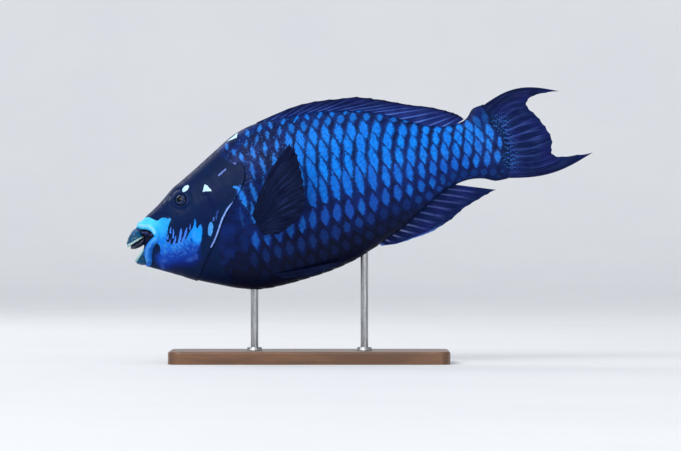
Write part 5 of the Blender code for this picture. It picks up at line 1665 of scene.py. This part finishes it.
def add_teeth(name, slices, place, tree, size):
    """Rows of small fused teeth along the cutting edge, each row set half a tooth aside."""
    sign = math.copysign(1.0, slices[-1][0])
    outer = beak_rings(slices)
    outside = beak_rings(slices, 0.001)
    rng = np.random.default_rng(TOOTH_SEED)
    seats, outs, tips, shapes, heights = [], [], [], [], []
    for row in range(TOOTH_ROWS):
        level = row * TOOTH_ROW_STEP
        for number in range(TEETH_IN_ROW):
            turn = ((number + 0.5 * (row % 2)) / TEETH_IN_ROW - 0.5) * TOOTH_ARC
            j = (turn / (2 * math.pi) * BEAK_SIDES) % BEAK_SIDES
            j0, i0 = int(j), int(level)
            fj, fi = j - j0, level - i0
            j1 = (j0 + 1) % BEAK_SIDES

            def read(rings):
                near = rings[i0, j0] * (1 - fj) + rings[i0, j1] * fj
                far = rings[i0 + 1, j0] * (1 - fj) + rings[i0 + 1, j1] * fj
                return near * (1 - fi) + far * fi

            point = read(outer)
            out = unit(read(outside) - point)
            long, thick, sunk = EDGE_TOOTH if row == 0 else INNER_TOOTH
            seats.append(point - out * TOOTH_SIZE * sunk + (0, 0, sign * TOOTH_BACK))
            outs.append(out)
            tips.append((0.0, 0.0, -sign))
            shapes.append((long * rng.uniform(0.85, 1.12), 0.92 * rng.uniform(0.9, 1.05), thick))
            heights.append(abs(point[2]))
    vectors = {"out": outs, "lie": tips, "size": shapes}
    numbers = {word: ("FLOAT_VECTOR", rows) for word, rows in vectors.items()}
    mesh = tree.grow(f"{name}_teeth", seats, {**numbers, "height": ("FLOAT", heights)}, Size=size)
    drop_numbers(mesh, *vectors)
    mesh.shade_smooth()
    mesh.transform(place)
    add_piece(f"{name}_teeth", mesh)


# Eyes and nostrils


def eye_material(settings):
    """Black pupil and nearly black iris with a faint blue ring, under a clear wet coat."""
    material, nodes = new_material(
        "parrotfish_eye", coat_weight=0.25, coat_roughness=0.03, specular_ior_level=0.08
    )
    ring = nodes.read("ring")
    streaks = nodes.noise(14, 3, nodes.read("round", "Vector"), 0.6)
    ring = nodes.plus(ring, nodes.times(nodes.minus(streaks, 0.5), 0.08))
    iris = nodes.mix(nodes.spread(streaks, 0.35, 0.7), settings.iris, settings.iris_light)
    colour = nodes.mix(nodes.spread(ring, 0.46, 0.52), settings.pupil, iris)
    band = nodes.times(nodes.spread(ring, 0.50, 0.56), nodes.spread(ring, 0.66, 0.58))
    colour = nodes.mix(nodes.times(band, 0.7), colour, settings.iris_ring)
    rough = nodes.spread(streaks, 0.3, 0.7, 0.12, 0.30)
    nodes.finish(colour, rough, nodes.bump(streaks, 0.0001, 0.3))
    return material


def cornea_rise(at):
    return CORNEA_DOME * bell(math.hypot(at.x, at.y), CORNEA_WIDE)


def build_eyes(settings):
    material = eye_material(settings)
    for word, side in SIDES:
        at, outward = skin_point(np.array(EYE_AT[0]), np.array(EYE_AT[1]), side)
        outward = Vector(outward)
        turned = outward.to_track_quat("Z", "Y").to_matrix()
        mesh = ball(f"eyeball_{word}", 64, 40, cornea_rise)
        local = np.array([vert.co for vert in mesh.vertices])
        forward = turned.inverted() @ PUPIL_LOOK
        off = local[:, :2] - np.array([forward.x, forward.y]) * PUPIL_FORWARD
        turn = np.arctan2(off[:, 1], off[:, 0])
        add_numbers(mesh, "ring", "FLOAT", np.hypot(*off.T))
        around = np.column_stack([np.cos(turn), np.sin(turn), 0 * turn])
        add_numbers(mesh, "round", "FLOAT_VECTOR", around)
        place = Matrix.Translation(Vector(at) - outward * EYE_SINK) @ turned.to_4x4()
        mesh.transform(place @ Matrix.Diagonal((EYE_RADIUS, EYE_RADIUS, EYE_BULGE, 1.0)))
        add_piece(f"eyeball_{word}", mesh, material, (f"eye_{word}",))


NOSTRIL_SIDES, NOSTRIL_LONG = 24, 1.15
NOSTRIL_PROFILE = [  # each ring's radius and height, as shares of the nostril's own radius
    (1.9, -0.35), (1.55, 0.10), (1.25, 0.42), (0.98, 0.46),
    (0.78, 0.25), (0.62, -0.2), (0.3, -0.6), (0.02, -0.7),
]


def nostril_material(settings):
    material, nodes = new_material("nostril_rim", coat_weight=0.3, coat_roughness=0.2)
    depth = nodes.read("depth")
    colour = nodes.patches(settings.rim, settings.rim_light, 800, 3, 0.35, 0.7)
    # The pit is painted near black as shade
    colour = nodes.mix(nodes.spread(depth, 0.1, 0.7), colour, settings.pit_shade)
    grain = nodes.bump(nodes.noise(1400, 3), 0.0001, 0.5)
    nodes.finish(colour, nodes.uneven(400, 2, 0.3, 0.5), grain)
    return material


def build_nostrils(settings):
    """Four small raised rims with a pit painted dark as shade, in one piece."""
    points, faces, depth = [], [], []
    for side in (-1, 1):
        for (x, z), radius in NOSTRILS:
            at, outward = skin_point(np.array(x), np.array(z), side)
            turn = Vector(outward).to_track_quat("Z", "Y").to_matrix()
            start = len(points)
            for ring, (wide, high) in enumerate(NOSTRIL_PROFILE):
                for j in range(NOSTRIL_SIDES):
                    angle = 2 * math.pi * j / NOSTRIL_SIDES
                    flap = 1 + 0.5 * max(0.0, math.cos(angle)) * (1 < ring < 5)
                    across, over = wide * math.cos(angle), wide * math.sin(angle) * NOSTRIL_LONG
                    local = Vector((across, over, high * flap))
                    points.append(Vector(at) + turn @ (local * radius))
                    depth.append(max(0.0, (ring - 3) / 4))
            rings = grid_faces(len(NOSTRIL_PROFILE), NOSTRIL_SIDES, True)
            faces += [tuple(start + i for i in face) for face in rings]
    mesh = mesh_of("nostrils", points, faces)
    face_outwards(mesh)
    add_numbers(mesh, "depth", "FLOAT", depth)
    add_piece("nostrils", mesh, nostril_material(settings))


# Stand and stage


def wood_material(settings):
    material, nodes = new_material("walnut_base", coat_weight=0.25, coat_roughness=0.25)
    along = nodes.stretched(nodes.place(), (7.0, 60.0, 60.0))
    bend = nodes.noise(1.2, 3, nodes.stretched(nodes.place(), (5.0, 14.0, 14.0)), output="Color")
    bent = nodes.add("ShaderNodeVectorMath", {0: along, 1: bend}, operation="ADD").outputs[0]
    rings = nodes.add("ShaderNodeTexWave", {
        "Vector": bent, "Scale": 0.55, "Distortion": 5.0, "Detail": 3.0, "Detail Scale": 1.4,
    }, bands_direction="Y").outputs["Fac"]
    fibre = nodes.noise(3.0, 6, nodes.stretched(nodes.place(), (12.0, 420.0, 420.0)), 0.7)
    colour = nodes.mix(nodes.spread(rings, 0.1, 0.95, 0.0, 0.5), settings.wood, settings.wood_deep)
    colour = nodes.mix(nodes.spread(fibre, 0.35, 0.75, 0.0, 0.6), colour, settings.wood_deep)
    nodes.finish(colour, nodes.spread(fibre, 0.3, 0.7, 0.34, 0.5), nodes.bump(fibre, 0.0002, 0.5))
    return material


def steel_material(settings):
    material, nodes = new_material("brushed_steel", metallic=1.0)
    brush = nodes.noise(4.0, 4, nodes.stretched(nodes.place(), (260.0, 260.0, 14.0)), 0.6)
    colour = nodes.mix(nodes.spread(brush, 0.3, 0.7), settings.steel, settings.steel_shade)
    rough = nodes.spread(brush, 0.25, 0.75, 0.22, 0.40)
    nodes.finish(colour, rough, nodes.bump(brush, 0.0001, 0.3))
    return material


def build_stand(settings):
    finishes = {"stand_base": wood_material(settings)}
    finishes["stand_rod_front"] = finishes["stand_rod_rear"] = steel_material(settings)
    for name, material in finishes.items():
        node = frame["nodes"][name]
        node.data.materials.clear()
        node.data.materials.append(material)


def floor_material(settings):
    material, nodes = new_material("plain_floor", specular_ior_level=0.25)
    colour = nodes.mix(nodes.uneven(3, 3, 0.0, 0.25), settings.floor, settings.floor_shade)
    nodes.finish(colour, nodes.uneven(40, 3, 0.55, 0.7))
    return material


FLOOR_REACH, SWEEP, WALL_HEIGHT = 6.0, 3.0, 7.0
SWEEP_STEPS = 15
ROOM_LIGHT_FROM, ROOM_LIGHT_SPREAD = (-1.4, -2.6, 3.2), math.radians(60)


def aim(light, place, target):
    light.location = place
    light.rotation_euler = (target - light.location).to_track_quat("-Z", "Y").to_euler()


def build_stage(settings):
    """Pale floor that sweeps up behind the fish, soft lights and the camera."""
    turns = np.linspace(0, math.pi / 2, SWEEP_STEPS + 1)[1:]
    profile = [(-FLOOR_REACH, 0.0), (FLOOR_REACH, 0.0)]
    profile += [(FLOOR_REACH + SWEEP * math.sin(t), SWEEP - SWEEP * math.cos(t)) for t in turns]
    profile.append((FLOOR_REACH + SWEEP, WALL_HEIGHT))
    points = [(x, y, z) for y, z in profile for x in (-FLOOR_REACH, FLOOR_REACH)]
    mesh = bpy.data.meshes.new("studio_floor")
    mesh.from_pydata(points, [], grid_faces(len(profile), 2, False))
    mesh.shade_smooth()
    if mesh.polygons[0].normal.z < 0:
        mesh.flip_normals()
    mesh.materials.append(floor_material(settings))
    put("studio_floor", mesh)

    origin = POSE.translation
    middle = Vector((
        origin.x + (FRAME_WIDE / 2 - ORIGIN_PIXEL[0]) * PIXEL, 0.0,
        origin.z + (ORIGIN_PIXEL[1] - FRAME_HIGH / 2) * PIXEL,
    ))
    lights = (
        ("key_light", (-2.0, -3.0, 2.6), 1.8, settings.key_power),
        ("front_light", (1.6, -3.4, 0.9), 1.8, settings.fill_power),
        ("top_light", (0.6, 0.2, 3.2), 2.4, settings.top_power),
        ("back_light", (-1.6, 1.6, 1.8), 1.2, settings.back_power),
    )
    for name, place, size, power in lights:
        lamp = bpy.data.lights.new(name, "AREA")
        lamp.shape, lamp.size, lamp.energy = "DISK", size, power
        light = put(name, lamp)
        light.visible_camera = False
        aim(light, place, middle)
    lamp = bpy.data.lights.new("room_light", "SUN")
    lamp.angle, lamp.energy = ROOM_LIGHT_SPREAD, settings.room_power
    aim(put("room_light", lamp), ROOM_LIGHT_FROM, Vector((0.0, 0.0, 0.0)))
    world = bpy.data.worlds.new("studio_air")
    world.use_nodes = True
    air = world.node_tree.nodes["Background"].inputs
    air["Color"].default_value, air["Strength"].default_value = settings.air, settings.air_power
    scene = bpy.context.scene
    scene.world = world
    scene.view_settings.view_transform = "Standard"

    lens = bpy.data.cameras.new("camera")
    lens.sensor_width = SENSOR_WIDE
    lens.lens = lens.sensor_width * settings.camera_distance / (FRAME_WIDE * PIXEL)
    camera = put("camera", lens)
    camera.location = middle - Vector((0.0, settings.camera_distance, 0.0))
    camera.rotation_euler = (math.pi / 2, 0.0, 0.0)
    scene.camera = camera


# Settings, operators and panel


def described(name, description, default):
    return {"name": name, "description": description, "default": default}


def colour_property(*words):
    kind = {"size": 4, "subtype": "COLOR", "min": 0.0, "max": 1.0}
    return bpy.props.FloatVectorProperty(**described(*words), **kind)


def length_property(*words):
    return bpy.props.FloatProperty(**described(*words), min=0.0, unit="LENGTH", precision=5)


def power_property(*words):
    return bpy.props.FloatProperty(**described(*words), unit="POWER")


def share_property(*words):
    return bpy.props.FloatProperty(**described(*words), min=0.0, max=2.0)


class ParrotfishSkin(bpy.types.PropertyGroup):
    shade: colour_property("Cloud", "Darker clouds on the skin", tone(150, 160, 200))
    fleck: colour_property("Fleck", "Fine pale flecks", tone(44, 62, 118))
    mottle: colour_property("Mottle", "Pale mottle of the light marks", tone(96, 170, 238))
    roughness: share_property("Roughness", "Middle roughness of the skin", 0.38)


class ParrotfishScales(bpy.types.PropertyGroup):
    lift: length_property("Rear Lift", "Height of a scale's free rear edge", 0.0011)
    size: share_property("Plate Size", "Size of a scale in columns and rows", 1.0)
    mark_wide: share_property("Mark Width", "Half width of a light mark, in half columns", 0.63)
    mark_tall: share_property("Mark Height", "Half height of a light mark, in rows", 0.71)
    mark_back: share_property("Mark Place", "How far back a mark lies on its scale", 0.04)
    mark_edge: colour_property("Mark Edge", "Pale edge of a light mark", tone(62, 126, 222))
    mark_core: colour_property("Mark Core", "Bright middle of a light mark", tone(0, 150, 255))
    mark_deep: colour_property("Mark Blotch", "Darker blotches of a light mark", tone(4, 84, 188))
    net: colour_property("Net", "Dark net between the marks", tone(10, 34, 96))
    net_deep: colour_property("Deep Net", "Darker part of the net", tone(6, 20, 62))
    net_under: colour_property("Under Net", "Nearly black net of the underside", tone(7, 13, 36))


class ParrotfishFins(bpy.types.PropertyGroup):
    fin_streak: colour_property("Streak", "Fine light streaks along the rays", tone(56, 66, 120))
    fin_shade: colour_property("Shade", "Darker clouds on the fins", tone(140, 140, 190))


class ParrotfishHead(bpy.types.PropertyGroup):
    beak: colour_property("Beak", "Teal of the beak", tone(12, 94, 138))
    beak_deep: colour_property("Deep Beak", "Darker teal of the beak", tone(6, 58, 92))
    beak_edge: colour_property("Cutting Edge", "Cream of the cutting edges", tone(176, 206, 206))
    beak_root: colour_property("Beak Root", "Colour towards the gums", tone(30, 84, 140))
    beak_stain: colour_property("Beak Stain", "Stain between the small teeth", tone(150, 170, 160))
    tooth_size: length_property("Tooth Size", "Half width of a tooth in the beak", TOOTH_SIZE)
    pupil: colour_property("Pupil", "Black of the pupil", tone(3, 4, 9))
    iris: colour_property("Iris", "Nearly black iris", tone(7, 15, 34))
    iris_light: colour_property("Light Iris", "Lighter streaks of the iris", tone(20, 40, 80))
    iris_ring: colour_property("Iris Ring", "Faint ring round the pupil", tone(52, 80, 140))
    rim: colour_property("Nostril Rim", "Skin of the nostril rims", tone(14, 26, 56))
    rim_light: colour_property("Light Rim", "Lighter skin of the rims", tone(30, 48, 92))
    # Near black of the tongue pad and of the beaks' cups, painted as shade in the gape
    tongue: colour_property("Tongue", "Dark skin of the tongue", tone(10, 20, 48))
    tongue_light: colour_property("Light Tongue", "Lighter skin of the tongue", tone(26, 40, 84))
    # Near black painted as shade in the nostrils' pits
    pit_shade: colour_property("Nostril", "Dark of the nostrils", tone(3, 5, 12))


class ParrotfishStage(bpy.types.PropertyGroup):
    wood: colour_property("Wood", "Lighter walnut", tone(122, 84, 56))
    wood_deep: colour_property("Deep Wood", "Darker walnut", tone(72, 46, 30))
    steel: colour_property("Steel", "Brushed steel", tone(196, 196, 198))
    steel_shade: colour_property("Steel Shade", "Darker brush lines", tone(140, 142, 146))
    floor: colour_property("Floor", "Pale floor", tone(232, 233, 235))
    floor_shade: colour_property("Floor Shade", "Faint clouds on the floor", tone(222, 224, 228))
    air: colour_property("Air", "Colour of the room's light", tone(232, 238, 246))
    air_power: share_property("Air Power", "Strength of the room's light", 0.50)
    key_power: power_property("Key", "Key light", 50.0)
    fill_power: power_property("Front", "Front light", 20.0)
    top_power: power_property("Top", "Top light", 10.0)
    back_power: power_property("Back", "Back light", 16.0)
    room_power: share_property("Room", "Even light on the whole room", 1.3)
    camera_distance: length_property("Camera Distance", "From the camera to the fish", 5.0)


class PARROTFISH_OT_skin(bpy.types.Operator):
    """Build the fish's skin, from the mouth to the root of the tail fin"""

    bl_idname = "parrotfish.skin"
    bl_label = "Skin"

    def execute(self, context):
        build_skin(context.scene.parrotfish_skin)
        return {"FINISHED"}


class PARROTFISH_OT_scales(bpy.types.Operator):
    """Lay the scales of both sides"""

    bl_idname = "parrotfish.scales"
    bl_label = "Scales"

    def execute(self, context):
        build_scales(context.scene.parrotfish_scales)
        return {"FINISHED"}


class PARROTFISH_OT_fins(bpy.types.Operator):
    """Build all seven fins"""

    bl_idname = "parrotfish.fins"
    bl_label = "Fins"

    def execute(self, context):
        build_fins(context.scene.parrotfish_fins)
        return {"FINISHED"}


class PARROTFISH_OT_beaks(bpy.types.Operator):
    """Build both halves of the beak with their teeth, and the tongue pad, painted dark as shade in
    the gape
    """

    bl_idname = "parrotfish.beaks"
    bl_label = "Beak"

    def execute(self, context):
        build_beaks(context.scene.parrotfish_head)
        build_tongue(context.scene.parrotfish_head)
        return {"FINISHED"}


class PARROTFISH_OT_eyes(bpy.types.Operator):
    """Build the eyes"""

    bl_idname = "parrotfish.eyes"
    bl_label = "Eyes"

    def execute(self, context):
        build_eyes(context.scene.parrotfish_head)
        return {"FINISHED"}


class PARROTFISH_OT_nostrils(bpy.types.Operator):
    """Build the rims of the nostrils"""

    bl_idname = "parrotfish.nostrils"
    bl_label = "Nostrils"

    def execute(self, context):
        build_nostrils(context.scene.parrotfish_head)
        return {"FINISHED"}


class PARROTFISH_OT_stand(bpy.types.Operator):
    """Finish the wooden base and the steel rods"""

    bl_idname = "parrotfish.stand"
    bl_label = "Stand"

    def execute(self, context):
        build_stand(context.scene.parrotfish_stage)
        return {"FINISHED"}


class PARROTFISH_OT_stage(bpy.types.Operator):
    """Set up the floor, the lights and the camera"""

    bl_idname = "parrotfish.stage"
    bl_label = "Stage"

    def execute(self, context):
        build_stage(context.scene.parrotfish_stage)
        return {"FINISHED"}


GROUPS = {
    "parrotfish_skin": ParrotfishSkin, "parrotfish_scales": ParrotfishScales,
    "parrotfish_fins": ParrotfishFins, "parrotfish_head": ParrotfishHead,
    "parrotfish_stage": ParrotfishStage,
}
OPERATORS = (
    PARROTFISH_OT_skin, PARROTFISH_OT_scales, PARROTFISH_OT_fins, PARROTFISH_OT_beaks,
    PARROTFISH_OT_eyes, PARROTFISH_OT_nostrils, PARROTFISH_OT_stand, PARROTFISH_OT_stage,
)


class PARROTFISH_PT_panel(bpy.types.Panel):
    """Settings and steps of the display parrotfish"""

    bl_idname = "PARROTFISH_PT_panel"
    bl_label = "Parrotfish"
    bl_space_type = "VIEW_3D"
    bl_region_type = "UI"
    bl_category = "Parrotfish"

    def draw(self, context):
        for step in OPERATORS:
            self.layout.operator(step.bl_idname)
        for name, group in GROUPS.items():
            box = self.layout.box()
            for word in group.__annotations__:
                box.prop(getattr(context.scene, name), word)


def register():
    for kind in (*GROUPS.values(), *OPERATORS, PARROTFISH_PT_panel):
        bpy.utils.register_class(kind)
    for name, group in GROUPS.items():
        setattr(bpy.types.Scene, name, bpy.props.PointerProperty(type=group))


def unregister():
    for name in GROUPS:
        delattr(bpy.types.Scene, name)
    for kind in reversed((*GROUPS.values(), *OPERATORS, PARROTFISH_PT_panel)):
        bpy.utils.unregister_class(kind)


def main():
    register()
    for step in OPERATORS:
        getattr(bpy.ops.parrotfish, step.bl_idname.split(".")[1])()
    bpy.context.view_layer.update()


if __name__ == "__main__":
    main()
